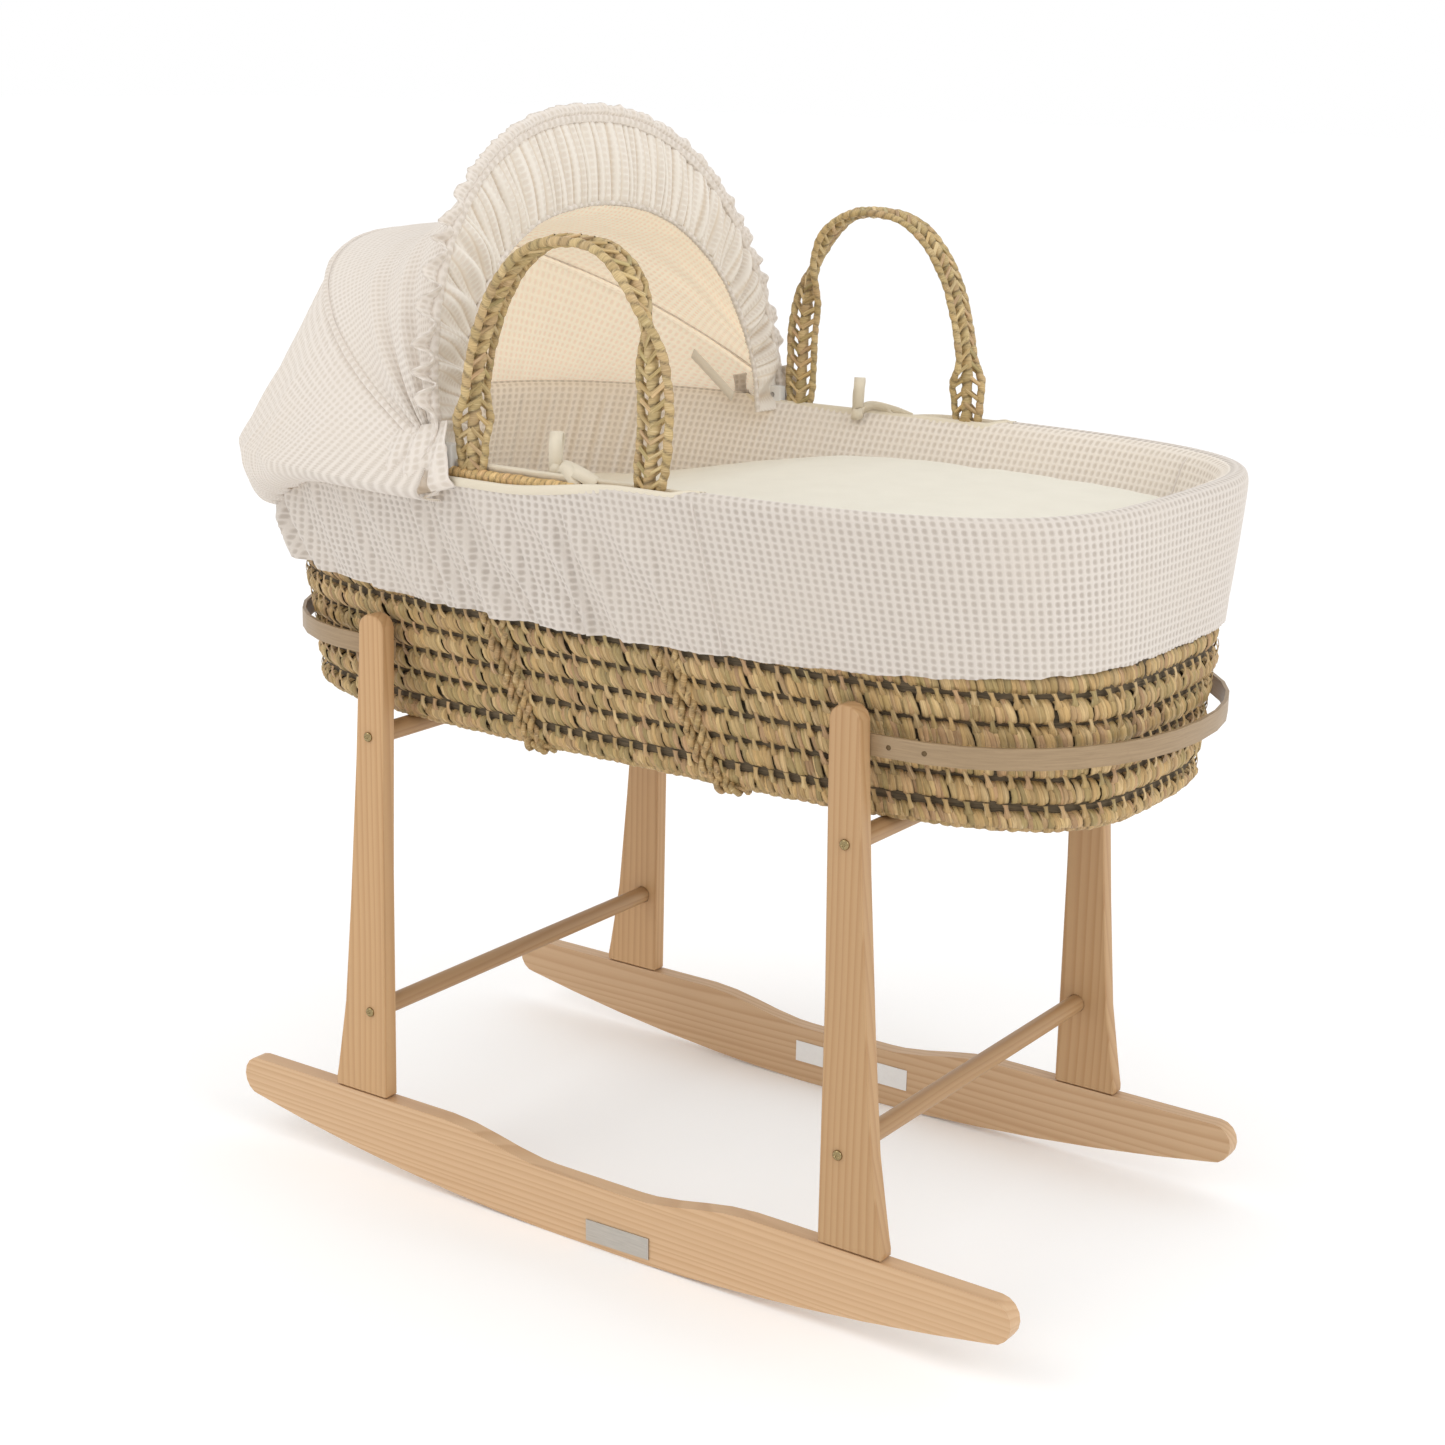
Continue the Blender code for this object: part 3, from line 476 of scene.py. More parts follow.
def bent_wood():
    look = Look("bent_beech", 0.42, specular=0.4)
    place = look.coords()
    streaks = look.noise(look.scaled(place, (30, 30, 900)), 1.0, 2.0)
    pores = look.noise(look.scaled(place, (160, 160, 2600)), 1.0, 2.0)
    colour = look.ramp(streaks, (0.3, (0.288, 0.198, 0.110)), (0.7, (0.355, 0.248, 0.142)))
    colour = look.tinted(colour, pores, (0.6, 0.72, 0.0, 0.35), (0.20, 0.125, 0.07, 1))
    return look.finish(colour, pores, 0.08, 0.0003)


def waffle(name, light, pit_shade, relief, thread=0.35, glow=0.0, pleats=0.0):
    """Waffle cotton from UVs in cells: pits between ridges, with painted shade in the pits. glow stands for
    painted light through the cloth.
    """
    look = Look(name, 0.88, specular=0.15, sheen=0.25)
    look.glow((1.0, 0.89, 0.74), glow)
    cells = look.coords("UV")
    u, v = look.split(cells)[:2]
    ways = [look.wave(part, math.pi) for part in (u, v)]
    pits = look.times(look.math("POWER", ways[0], 0.95), look.math("POWER", ways[1], 0.55))
    hollow_shade = look.band(pits, 0.40, 0.90)
    cords = [look.wave(part, math.pi * 5) for part in (u, v)]
    twill = look.times(cords[0], cords[1])
    cloud = look.noise(look.scaled(cells, (0.09, 0.09, 1)), 1.0, 2.0)
    fuzz = look.noise(cells, 9.0, 2.0, 0.7)
    # painted shade: the cloth is mixed towards the darker colour in the pits
    colour = look.mix(look.times(hollow_shade, 0.85), (*light, 1), (*pit_shade, 1))
    # painted shade: the valleys between pleats are darkened
    if pleats:
        valley_shade = look.wave(u, math.pi / pleats)
        colour = look.tinted(
            colour, valley_shade, (0.0, 0.55, 0.75, 0.0), (pit_shade[0] * 0.92, pit_shade[1] * 0.84, pit_shade[2] * 0.72, 1)
        )
    colour = look.tinted(
        colour, cloud, (0.3, 0.7, 0.0, 0.35), (light[0] * 0.95, light[1] * 0.93, light[2] * 0.89, 1)
    )
    colour = look.tinted(colour, fuzz, (0.3, 0.75, 0.0, 0.18), (pit_shade[0] * 0.9, pit_shade[1] * 0.87, pit_shade[2] * 0.8, 1))
    height = look.times(look.math("SUBTRACT", 1.0, pits), relief)
    height = look.plus(height, look.times(twill, thread * 0.25))
    height = look.plus(height, look.times(fuzz, 0.12))
    return look.finish(colour, height, 0.55, 0.0011)


def palm_leaf():
    """Dried palm leaf: the strip's own tint, with fibres along it and blotches. UVs are in millimetres."""
    look = Look("palm_leaf", 0.55, specular=0.35)
    leaf = look.coords("UV")
    tint = look.attribute("tint")
    fibres = look.noise(look.scaled(leaf, (1.0, 0.05, 1)), 1.0, 3.0, 0.7)
    blotch = look.noise(look.scaled(leaf, (0.14, 0.07, 1)), 1.0, 2.0)
    colour = look.tinted(tint, fibres, (0.45, 0.70, 0.0, 0.5), (0.17, 0.11, 0.045, 1))
    colour = look.tinted(colour, fibres, (0.30, 0.44, 0.35, 0.0), (0.86, 0.74, 0.48, 1))
    colour = look.tinted(colour, blotch, (0.55, 0.75, 0.0, 0.28), (0.36, 0.29, 0.12, 1))
    rough = look.band(fibres, 0.3, 0.7, 0.45, 0.68)
    return look.finish(colour, fibres, 0.8, 0.0008, rough)


def woven(name, colour, dark, scale, roughness=0.85, strength=0.3, glow=0.0):
    """Plain woven tape or jersey from UVs in millimetres."""
    look = Look(name, roughness, specular=0.2, sheen=0.2)
    # glow is painted light, for pieces that sit in shade
    look.glow((1.0, 0.9, 0.75), glow)
    cloth = look.coords("UV")
    u, v = look.split(look.scaled(cloth, (scale, scale, scale)))[:2]
    warp = look.math("SINE", look.times(u, 2 * math.pi))
    weft = look.math("SINE", look.times(v, 2 * math.pi))
    threads = look.times(warp, weft)
    cloud = look.noise(look.scaled(cloth, (0.03, 0.03, 1)), 1.0, 3.0)
    base = look.mix(look.band(threads, -0.6, 0.9, 0.0, 0.40), (*colour, 1), (*dark, 1))
    base = look.tinted(base, cloud, (0.35, 0.7, 0.0, 0.22), (*dark, 1))
    return look.finish(base, threads, strength, 0.0004)


def metal(name, colour, roughness, brushed=0.0):
    look = Look(name, roughness, metallic=1.0)
    place = look.coords()
    scratches = look.noise(look.scaled(place, (60, 900, 900) if brushed else (500, 500, 500)), 1.0, 3.0)
    shade = look.mix(look.band(scratches, 0.3, 0.7, 0.0, 0.35), (*colour, 1), (*[c * 0.7 for c in colour], 1))
    rough = look.band(scratches, 0.3, 0.7, roughness * 0.8, roughness * 1.25)
    return look.finish(shade, scratches, 0.06 + brushed, 0.0002, rough)


def plain(name, colour, roughness, grain=300.0):
    look = Look(name, roughness)
    speckle = look.noise(look.coords(), grain, 2.0)
    shade = look.mix(look.band(speckle, 0.3, 0.7, 0.0, 0.25), (*colour, 1), (*[c * 0.88 for c in colour], 1))
    return look.finish(shade, speckle, 0.05, 0.0003)


BENT = bent_wood()
# One waffle cotton in several copies. The lining, hood and pleat copies are painted lighter as painted light,
# and the lining and hood-inside copies glow as painted light through the cloth.
WAFFLE = waffle("waffle_cotton", (0.69, 0.632, 0.575), (0.43, 0.375, 0.325), 0.7)
WAFFLE_IN = waffle("waffle_cotton_inside", (0.77, 0.708, 0.635), (0.52, 0.455, 0.385), 0.7, glow=0.05)
WAFFLE_HOOD = waffle("waffle_cotton_hood", (0.79, 0.725, 0.66), (0.61, 0.54, 0.465), 0.9)
WAFFLE_PLEAT = waffle("waffle_cotton_pleats", (0.82, 0.765, 0.69), (0.69, 0.61, 0.525), 0.8, pleats=1.5)
WAFFLE_WARM = waffle("waffle_cotton_hood_inside", (0.86, 0.79, 0.68), (0.64, 0.565, 0.46), 0.8, glow=0.30)
LEAF = palm_leaf()
TAPE = woven("cotton_tape", (0.80, 0.725, 0.585), (0.66, 0.575, 0.43), 1.4)
NAIL = metal("sunk_nail", (0.16, 0.11, 0.06), 0.5)
JERSEY = woven("cotton_jersey", (0.78, 0.745, 0.64), (0.66, 0.62, 0.52), 0.45, 0.9, 0.35)
# painted light: the ribbon sits in the hood's shade and is made to glow
RIBBON = woven("grey_ribbon", (0.62, 0.56, 0.46), (0.50, 0.45, 0.36), 1.6, glow=0.18)
STEEL = metal("steel_wire", (0.60, 0.60, 0.61), 0.32)
ZINC = metal("yellow_zinc", (0.34, 0.26, 0.13), 0.22)
NICKEL = metal("satin_nickel", (0.56, 0.54, 0.50), 0.38, 0.1)
PLASTIC = plain("white_plastic", (0.80, 0.78, 0.74), 0.45)
PAPER = plain("white_label", (0.80, 0.79, 0.77), 0.55)
WADDING = plain("white_wadding", (0.80, 0.79, 0.76), 0.95)


# --- Camera, light and floor -----------------------------------------------------------------------


CAMERA_PLACE = (1.1772, -1.7309, 0.9759)
CAMERA_TURNS = (34.5009, 15.1253, 1.18827)  # azimuth, elevation and roll in degrees
LENS_MM, SENSOR_MM = 62.46, 36
FLOOR_HALF, FLOOR_Z = 30.0, -0.0004


def make_camera():
    azimuth, elevation, roll = (math.radians(degrees) for degrees in CAMERA_TURNS)
    forward = Vector(
        (
            -math.sin(azimuth) * math.cos(elevation),
            math.cos(azimuth) * math.cos(elevation),
            -math.sin(elevation),
        )
    )
    level_right = Vector((math.cos(azimuth), math.sin(azimuth), 0))
    level_up = level_right.cross(forward)
    right = level_right * math.cos(roll) + level_up * math.sin(roll)
    up = level_up * math.cos(roll) - level_right * math.sin(roll)
    lens = bpy.data.cameras.new("studio_camera")
    lens.lens = LENS_MM
    lens.sensor_width = SENSOR_MM
    lens.clip_end = 60
    camera = bpy.data.objects.new("studio_camera", lens)
    facing = Matrix((right, up, -forward)).transposed().to_4x4()
    camera.matrix_world = Matrix.Translation(CAMERA_PLACE) @ facing
    bpy.context.scene.collection.objects.link(camera)
    bpy.context.scene.camera = camera


def area_light(name, location, target, size, power, colour=(1, 1, 1)):
    data = bpy.data.lights.new(name, "AREA")
    data.shape = "DISK"
    data.size = size
    data.energy = power
    data.color = colour
    light = bpy.data.objects.new(name, data)
    light.location = location
    light.rotation_euler = (Vector(location) - Vector(target)).to_track_quat("Z", "Y").to_euler()
    bpy.context.scene.collection.objects.link(light)


def make_studio():
    scene = bpy.context.scene
    scene.view_settings.view_transform = "Standard"
    scene.view_settings.look = "None"
    world = bpy.data.worlds.new("studio")
    scene.world = world
    world.use_nodes = True
    world.node_tree.nodes["Background"].inputs["Color"].default_value = (1.0, 1.0, 1.0, 1)
    world.node_tree.nodes["Background"].inputs["Strength"].default_value = 1.0
    area_light("key", (-1.5, -2.2, 3.0), (0, 0, 0.5), 1.8, 15, (1.0, 0.95, 0.89))
    area_light("foot_fill", (2.6, -0.5, 1.9), (0.1, 0, 0.5), 1.8, 16)
    look = Look("pale_floor", 0.95, specular=0.1)
    look.glow((1, 1, 1), 0.07)
    drift = look.noise(look.coords(), 2.0, 2.0)
    pale = look.finish(look.mix(drift, (0.955, 0.955, 0.955, 1), (0.975, 0.975, 0.975, 1)))
    corners = [[(x * FLOOR_HALF, y * FLOOR_HALF, FLOOR_Z) for x in (-1, 1)] for y in (-1, 1)]
    floor = grid_object("studio_floor", np.array(corners), [pale])


make_camera()
make_studio()


# --- Stand -----------------------------------------------------------------------------------------


def build_stand():
    for way, near in ((-1, "near"), (1, "far")):
        ring = (way * 0.236, -0.16) if way < 0 else (0.262, 0.10)
        look = pine(f"pine_rocker_{near}", 0, (*ring, 0), 1.0 if way < 0 else 0.9)
        sharp_copy(f"rocker_{near}", look)
        for side, end in ((-1, "head"), (1, "foot")):
            centre = SHIFT + side * (0.255 + 0.06 * (1 if way < 0 else -1))
            look = pine(
                f"pine_leg_{near}_{end}", 2, (centre, way * 0.25, 0), 0.76 if end == "foot" else 0.87, 0.92
            )
            sharp_copy(f"leg_{near}_{end}", look)
            sharp_copy(f"leg_peg_{near}_{end}", look)
    for end, side in (("head", -1), ("foot", 1)):
        for height, z in (("upper", 0.38), ("lower", 0.13)):
            look = pine(f"pine_bar_{height}_{end}", 1, (SHIFT + side * 0.25, z, 0), 0.66, 0.92)
            sharp_copy(f"crossbar_{height}_{end}", look, 40)
        sharp_copy(f"end_hoop_{end}", BENT, 40)


build_stand()


# --- Dressing: the waffle cotton over the rim ------------------------------------------------------

ROUND_CELLS = 326  # pits in one turn round the rim
ROUND_LENGTH = 2.44
PIPING_RADIUS = 0.0009


def relief(u, v):
    """0 in the middle of a pit and 1 on the ridges, for a place in cells."""
    return 1 - (np.abs(np.sin(math.pi * u)) * np.abs(np.sin(math.pi * v))) ** 0.8


def near_gap(x, y, margin):
    """1 along the bare stretch of each long side, falling to 0 over the margin at both its ends."""
    inside = np.minimum(x - GAP_HEAD_X, GAP_FOOT_X - x)
    return smooth_step((inside + margin) / margin) * (np.abs(y) > 0.2)


def profile_points(profile, distance):
    """(offset, z) at distances along a cross-section, which is given as points."""
    profile = np.asarray(profile, float)
    along = distance_along(profile)
    return np.interp(distance, along, profile[:, 0]), np.interp(distance, along, profile[:, 1])


def curve_2d(points, count=160):
    flat = smooth_path([(x, 0, z) for x, z in points], count)
    return flat[:, [0, 2]]


# Cross-sections as (offset from the outline, height), both starting on top of the rim.
OUTSIDE = curve_2d(
    [
        (-0.0165, 0.6564),
        (-0.0115, 0.6581),
        (-0.0060, 0.6568),
        (-0.0021, 0.6514),
        (-0.0004, 0.640),
        (0.0012, 0.605),
        (0.0030, 0.560),
        (0.0042, 0.515),
    ]
)
INSIDE = curve_2d(
    [
        (-0.0100, 0.6574),
        (-0.0170, 0.6564),
        (-0.0218, 0.6520),
        (-0.0243, 0.640),
        (-0.0262, 0.605),
        (-0.0235, 0.560),
        (-0.0205, 0.505),
    ]
)


def draped(name, section, top_distance, end_distance, rows, wrinkle, look, flip, depth):
    """A sheet round the whole basket, between two distances down from the rim's top, given per column."""
    columns = ROUND_CELLS * 3
    fractions = np.arange(columns) / columns
    angles, _ = even_angles(ROUND_Z, fractions)
    rim = outline(angles, ROUND_Z)
    top = top_distance(rim)
    end = end_distance(rim)
    t = np.linspace(0, 1, rows)[:, None]
    distance = top[None] + (end - top)[None] * t
    offset, z = profile_points(section, distance)
    u = np.broadcast_to((fractions * ROUND_CELLS)[None], distance.shape)
    v = distance / CELL_HIGH
    along = fractions[None] * ROUND_LENGTH
    push = wrinkle(rim[None, :, 0] + 0 * z, rim[None, :, 1] + 0 * z, along, z)
    offset = offset + push + (relief(u, v) - 0.5) * depth
    points = outline(angles[None] + 0 * z, z, offset)
    uvs = np.stack([u, v], -1)
    uvs = np.concatenate([uvs, uvs[:, :1] + (ROUND_CELLS, 0)], axis=1)
    round_again = np.concatenate([points, points[:, :1]], axis=1)
    return grid_object(name, round_again, [look], uvs, flip=flip), points


def hem_distance(rim):
    """How far below the rim's top the skirt's elastic hem runs, along the cloth."""
    x = rim[:, 0] - SHIFT
    hem = HEM_Z + 0.016 * (x / 0.4) ** 2
    wave = 0.0012 * wobble(rim[:, 0] * 60 + rim[:, 1] * 90, 5)
    heights = np.minimum.accumulate(OUTSIDE[:, 1])
    along = distance_along(OUTSIDE)
    return np.interp(-(hem + wave), -heights, along)


def height_distance(section, z):
    along = distance_along(section)
    return np.interp(-z, np.maximum.accumulate(-section[:, 1]), along)


def skirt_top(rim):
    """The skirt starts on top of the rim, and lower over the bare stretch."""
    gap = near_gap(rim[:, 0], rim[:, 1], 0.034)
    level = 0.6435 + 0.0120 * smooth_step((rim[:, 0] + 0.060) / 0.125)
    return height_distance(OUTSIDE, level) * gap


def lining_top(rim):
    gap = near_gap(rim[:, 0], rim[:, 1], 0.026)
    return height_distance(INSIDE, 0.6545) * gap


def skirt_wrinkles(x, y, along, z):
    """Folds drawn in by the hem's elastic: strong by the near handle and at the head, faint at the foot."""
    low = smooth_step((0.62 - z) / 0.09)
    slack = np.exp(-(((x + 0.05) / 0.19) ** 2)) * 0.9 + smooth_step((-0.25 - x) / 0.12) * 1.0 + 0.14
    folds = wobble(along * 330 + (z - 0.6) * 160, 11, 3)
    broad = wobble(along * 95 + (z - 0.6) * 60, 12, 3)
    gathers = wobble(along * 620, 13, 2) * smooth_step((0.555 - z) / 0.03)
    swell = 0.0022 * np.sin(math.pi * np.clip((0.648 - z) / 0.12, 0, 1))
    out = 0.0012 * np.maximum(folds + 0.5, 0) + 0.0058 * np.clip(broad + 0.2, 0, 1.2)
    near = smooth_step((0.10 - x) / 0.03) * (y < 0)
    slant = np.sin(2 * math.pi * (along / 0.047 + (z - 0.6) * 9.0) + 1.8 * wobble(along * 40, 14))
    tucks = near * 0.0064 * np.maximum(slant, -0.2) * smooth_step((0.640 - z) / 0.035)
    return slack * (low * out + tucks + 0.0010 * np.maximum(gathers, -0.5)) + swell * (0.35 + slack)


def lining_wrinkles(x, y, along, z):
    """Upright gathers at the head end, and a soft roll along the sides."""
    head = smooth_step((-0.20 - x) / 0.08)
    folds = wobble(along * 260, 21, 3)
    gathers = head * 0.0027 * folds * smooth_step((0.655 - z) / 0.02)
    return gathers + 0.0008 * wobble(along * 40 + z * 30, 22, 3)


def build_dressing():
    def full_end(rim):
        return np.full(len(rim), height_distance(INSIDE, 0.512))

    skirt, skirt_points = draped(
        "skirt_cover", OUTSIDE, skirt_top, hem_distance, 70, skirt_wrinkles, WAFFLE, True, 0.0011
    )
    finish_piece(skirt, "waffle_cotton", "basket", "skirt", "rim_edge_foot", "rim_edge_head")
    lining, lining_points = draped(
        "lining_cover", INSIDE, lining_top, full_end, 76, lining_wrinkles, WAFFLE_IN, False, -0.0011
    )
    finish_piece(lining, "waffle_cotton", "basket")
    for name, points, x, way in (
        ("skirt_seam_near", skirt_points, GAP_FOOT_X + 0.020, -1),
        ("skirt_seam_far", skirt_points, GAP_FOOT_X + 0.020, 1),
        ("lining_seam_head", lining_points, -0.227, 1),
        ("lining_seam_foot", lining_points, 0.313, 1),
    ):
        seam_piping(name, points, x, way)
    floor_lining()


def seam_piping(name, points, x, way):
    """A thin cord sewn into the upright seam of a draped sheet, along the column nearest to this X."""
    mid = points[len(points) // 2]
    column = np.argmin(np.abs(mid[:, 0] - x) + 9.0 * (mid[:, 1] * way < 0))
    line = smooth_path(points[2::6, column], 60)
    _, side, up = sweep_frames(line)
    phi = full_turn(8)
    ring = rings_round(side, up, phi)
    tube = line[:, None] + PIPING_RADIUS * ring
    along = distance_along(line) * 1000
    uvs = paired(along[:, None] / 900, phi[None] / 90)
    bundle = Bundle()
    add_tube(bundle, tube, uvs)
    finish_piece(bundle.make(name, WAFFLE), "waffle_cotton", "basket")


def floor_lining():
    """The lining's plain lower wall and floor, under the mattress."""
    fractions = np.arange(240) / 240
    angles, _ = even_angles(0.5, fractions)
    rows = []
    for z, depth in ((0.516, 0.0212), (0.470, 0.0215), (0.440, 0.023), (0.430, 0.026), (0.4262, 0.036)):
        rows.append(outline(angles, z, -depth))
    for scale in (0.8, 0.5, 0.2, 0.02):
        row = rows[4].copy()
        row[:, :2] = (row[:, :2] - (SHIFT, 0)) * scale + (SHIFT, 0)
        rows.append(row)
    points = np.array(rows)
    uvs = points[..., :2] / CELL_WIDE
    floor = grid_object("lining_floor", points, [WAFFLE_IN], uvs, closed=True)
    thicken(floor, 0.002, -1)
    finish_piece(floor, "waffle_cotton", "basket", "lining")


build_dressing()


# --- Weave: rows of split palm leaf wrapped round a core -------------------------------------------

LEAF_POINTS = 5  # across one strip of leaf
WRAP_PITCH = 0.0145  # from one wrap of a row to the next
ROW_HEIGHT, FIRST_ROW_HEIGHT = 0.0200, 0.0140
STRAW = np.array(
    [
        (0.66, 0.465, 0.215),
        (0.60, 0.425, 0.200),
        (0.54, 0.400, 0.180),
        (0.49, 0.385, 0.175),
        (0.66, 0.460, 0.245),
        (0.58, 0.385, 0.215),
        (0.74, 0.560, 0.300),
        (0.70, 0.530, 0.265),
    ]
) * (0.95, 0.88, 0.80)


def leaf_uvs(points, across, along):
    """UVs in millimetres for leaf grids, from parts that broadcast to the grids' shape."""
    shape = points.shape[:3]
    return np.stack([np.broadcast_to(across, shape), np.broadcast_to(along, shape)], -1)


def leaf_tints(draw, count, shade=1.0):
    tints = STRAW[draw.integers(0, len(STRAW), count)]
    return tints * draw.uniform(0.70, 1.05, (count, 1)) * shade


def edge_shade(tints, across):
    """Tints for strips with painted shade along both edges, where each strip meets the next. tints is one per
    strip.
    """
    side = np.linspace(-1, 1, across)
    return tints[:, None, None] * (1 - 0.45 * np.abs(side) ** 3)[None, None, :, None]


def leaf_strips(fraction, length, z, height, width, lean, depth, lift, draw):
    """Points and UVs of strips that wrap over a row, one grid each, from its top to its foot."""
    count, across, steps = len(fraction), LEAF_POINTS, 8
    turn = np.linspace(-0.62, 0.62, steps)[None, :, None] * math.pi
    side = np.linspace(-1, 1, across)[None, None, :]
    lift = lift[:, None, None]
    crown = (1 - side**2) * 0.0012
    out = depth * np.cos(turn) + lift + crown - depth * 0.55
    up = height / 2 * np.sin(-turn) / math.sin(0.5 * math.pi)
    taper = 1 - 0.10 * np.abs(np.sin(turn))
    run = side * width[:, None, None] / 2 * taper + lean[:, None, None] * -np.sin(-turn)
    at = fraction[:, None, None] + run / length
    heights = z[:, None, None] + up + 0 * run
    angles = np.interp(np.mod(at, 1.0), ANGLE_TABLE[0], ANGLE_TABLE[1])
    points = outline(angles, heights, out + 0 * run)
    across_leaf = side * width[:, None, None] * 500 + draw.uniform(0, 900, (count, 1, 1))
    return points, leaf_uvs(points, across_leaf, turn * 8)


_fractions = np.linspace(0, 1, 4001)
_angles = even_angles(0.47, _fractions * 0.9999999)[0]
ANGLE_TABLE = (_fractions, _angles)


def weave_row(name, z, height, draw, depth, top_tie, inset):
    """One row round the basket: four strips to each wrap, and ties above all but the top row."""
    length = even_angles(z, np.array([0.0]))[1]
    units = int(length / WRAP_PITCH)
    starts = (np.arange(units) + draw.uniform(-0.12, 0.12, units)) / units
    row = Bundle()
    for k in range(4):
        fraction = starts + (0.0017 + 0.0031 * k + draw.uniform(-0.0006, 0.0006, units)) / length
        width = draw.uniform(0.0048, 0.0070, units)
        lean = draw.uniform(0.0010, 0.0030, units)
        lift = draw.uniform(-0.0006, 0.0010, units) + 0.0002 * k - inset
        heights = z + draw.uniform(-0.0006, 0.0006, units)
        tall = height * draw.uniform(0.94, 1.05)
        points, uvs = leaf_strips(fraction, length, heights, tall, width, lean, depth, lift, draw)
        row.add(points, uvs, edge_shade(leaf_tints(draw, units, 0.96), LEAF_POINTS))
    if top_tie:
        weave_ties(row, starts, length, z + height / 2, draw, inset)
    finish_piece(row.make(name, LEAF), "palm_leaf", "basket")


def weave_ties(row, starts, length, z, draw, inset):
    """The knots that bind each wrap to the row above, fanning out downwards."""
    count = len(starts)
    across, steps = LEAF_POINTS, 6
    t = np.linspace(0, 1, steps)[None, :, None]
    side = np.linspace(-1, 1, across)[None, None, :]
    fan = 1 + 0.9 * t**2 - 0.35 * np.sin(math.pi * np.clip(t * 1.6, 0, 1))
    width = draw.uniform(0.0026, 0.0038, count)[:, None, None] * fan
    run = side * width / 2 * 1.5 + (t - 0.5) * draw.uniform(0.001, 0.005, count)[:, None, None]
    rise = 0.0060 - 0.0135 * t + 0 * run
    out = 0.0012 + 0.0030 * np.sin(math.pi * (0.15 + 0.75 * t)) + (1 - side**2) * 0.0006 - inset
    at = (starts[:, None, None] + (run - 0.0012) / length) + 0 * rise
    angles = np.interp(np.mod(at, 1.0), *ANGLE_TABLE)
    points = outline(angles, z + rise, out + 0 * rise)
    uvs = leaf_uvs(points, side * width * 600 + draw.uniform(0, 900, (count, 1, 1)), t * 15)
    row.add(points, uvs, edge_shade(leaf_tints(draw, count, 0.9), LEAF_POINTS))


def build_weave():
    draw = np.random.default_rng(4)
    heights = [0.4205, 0.4425, 0.4645, 0.4865, 0.5085, 0.5305]
    for k, z in enumerate(heights):
        top = k == len(heights) - 1
        weave_row(
            f"weave_row_{k}",
            z,
            FIRST_ROW_HEIGHT if k == 0 else ROW_HEIGHT,
            draw,
            0.0080,
            not top,
            0.0034 if top else 0.0,
        )
    # the basket's solid in a near black look: painted shade in the gaps between rows
    sharp_copy("palm_basket", CORE_SHADE, 60, "basket").name = "weave_core_shade"
    base = Bundle()
    turns = even_angles(0.42, np.linspace(0, 0.99999, 500))[0]
    edge = outline(turns, 0.4155 + 0 * turns, -0.0035)
    wrapped_cord(base, edge, 0.0052, 0.0085, draw, 10, 0.26, shade=0.95, step=0.0022)
    for scale in (0.90, 0.76, 0.62, 0.48, 0.34, 0.20, 0.06):
        row = edge * (1, 1, 0) + (0, 0, 0.4165)
        row[:, 0] = (row[:, 0] - SHIFT) * (0.5 + 0.5 * scale if scale > 0.5 else 0.25 + scale) + SHIFT
        row[:, 1] = row[:, 1] * scale
        wrapped_cord(base, row, 0.0085, 0.014, draw, 8, 0.2, shade=0.95, step=0.006)
    finish_piece(base.make("weave_base", LEAF), "palm_leaf", "basket")


# painted shade: the core is coloured near black brown so that the gaps between the rows of wraps read as
# shade
def core_shade_look():
    look = Look("palm_core_shade", 0.8)
    place = look.coords()
    fibres = look.noise(look.scaled(place, (60, 60, 900)), 1.0, 3.0)
    colour = look.ramp(fibres, (0.3, (0.055, 0.040, 0.022)), (0.7, (0.14, 0.10, 0.055)))
    return look.finish(colour, fibres, 0.5, 0.001)


CORE_SHADE = core_shade_look()


def wrapped_cord(bundle, path, radius, pitch, draw, sides=10, groove=0.2, lean=1, shade=1.0, step=0.0013):
    """A cord wound with leaf: bands a pitch apart, with a groove between them."""
    path, along = resample(path, step)
    _, side, up = sweep_frames(path)
    phi = full_turn(sides)
    band = along[:, None] / pitch + lean * phi[None] / (2 * math.pi) + 0.12 * wobble(along * 240, 7)[:, None]
    local = band - np.floor(band)
    swell = 1 - groove * (1 - np.sin(math.pi * local) ** 0.5)
    thick = radius * swell * (1 + 0.12 * wobble(along * 210, 3)[:, None])
    ring = rings_round(side, up, phi)
    points = path[:, None] + thick[..., None] * ring
    colours = leaf_tints(draw, int(along[-1] / pitch) + 8, shade)
    colours = 0.5 * colours + 0.5 * colours.mean(axis=0)
    tints = colours[np.clip(np.floor(band).astype(int) + 2, 0, len(colours) - 1)]
    # painted shade: each band darkens towards the grooves on both sides of it
    tints = tints * (0.34 + 0.66 * np.minimum(local, 1 - local).clip(0, 0.16) / 0.16)[..., None]
    uvs = np.stack(
        [along[:, None] * 1000 + 0 * phi[None], phi[None] * radius * 1000 + 37 * np.floor(band)], -1
    )
    add_tube(bundle, points, uvs, tints)


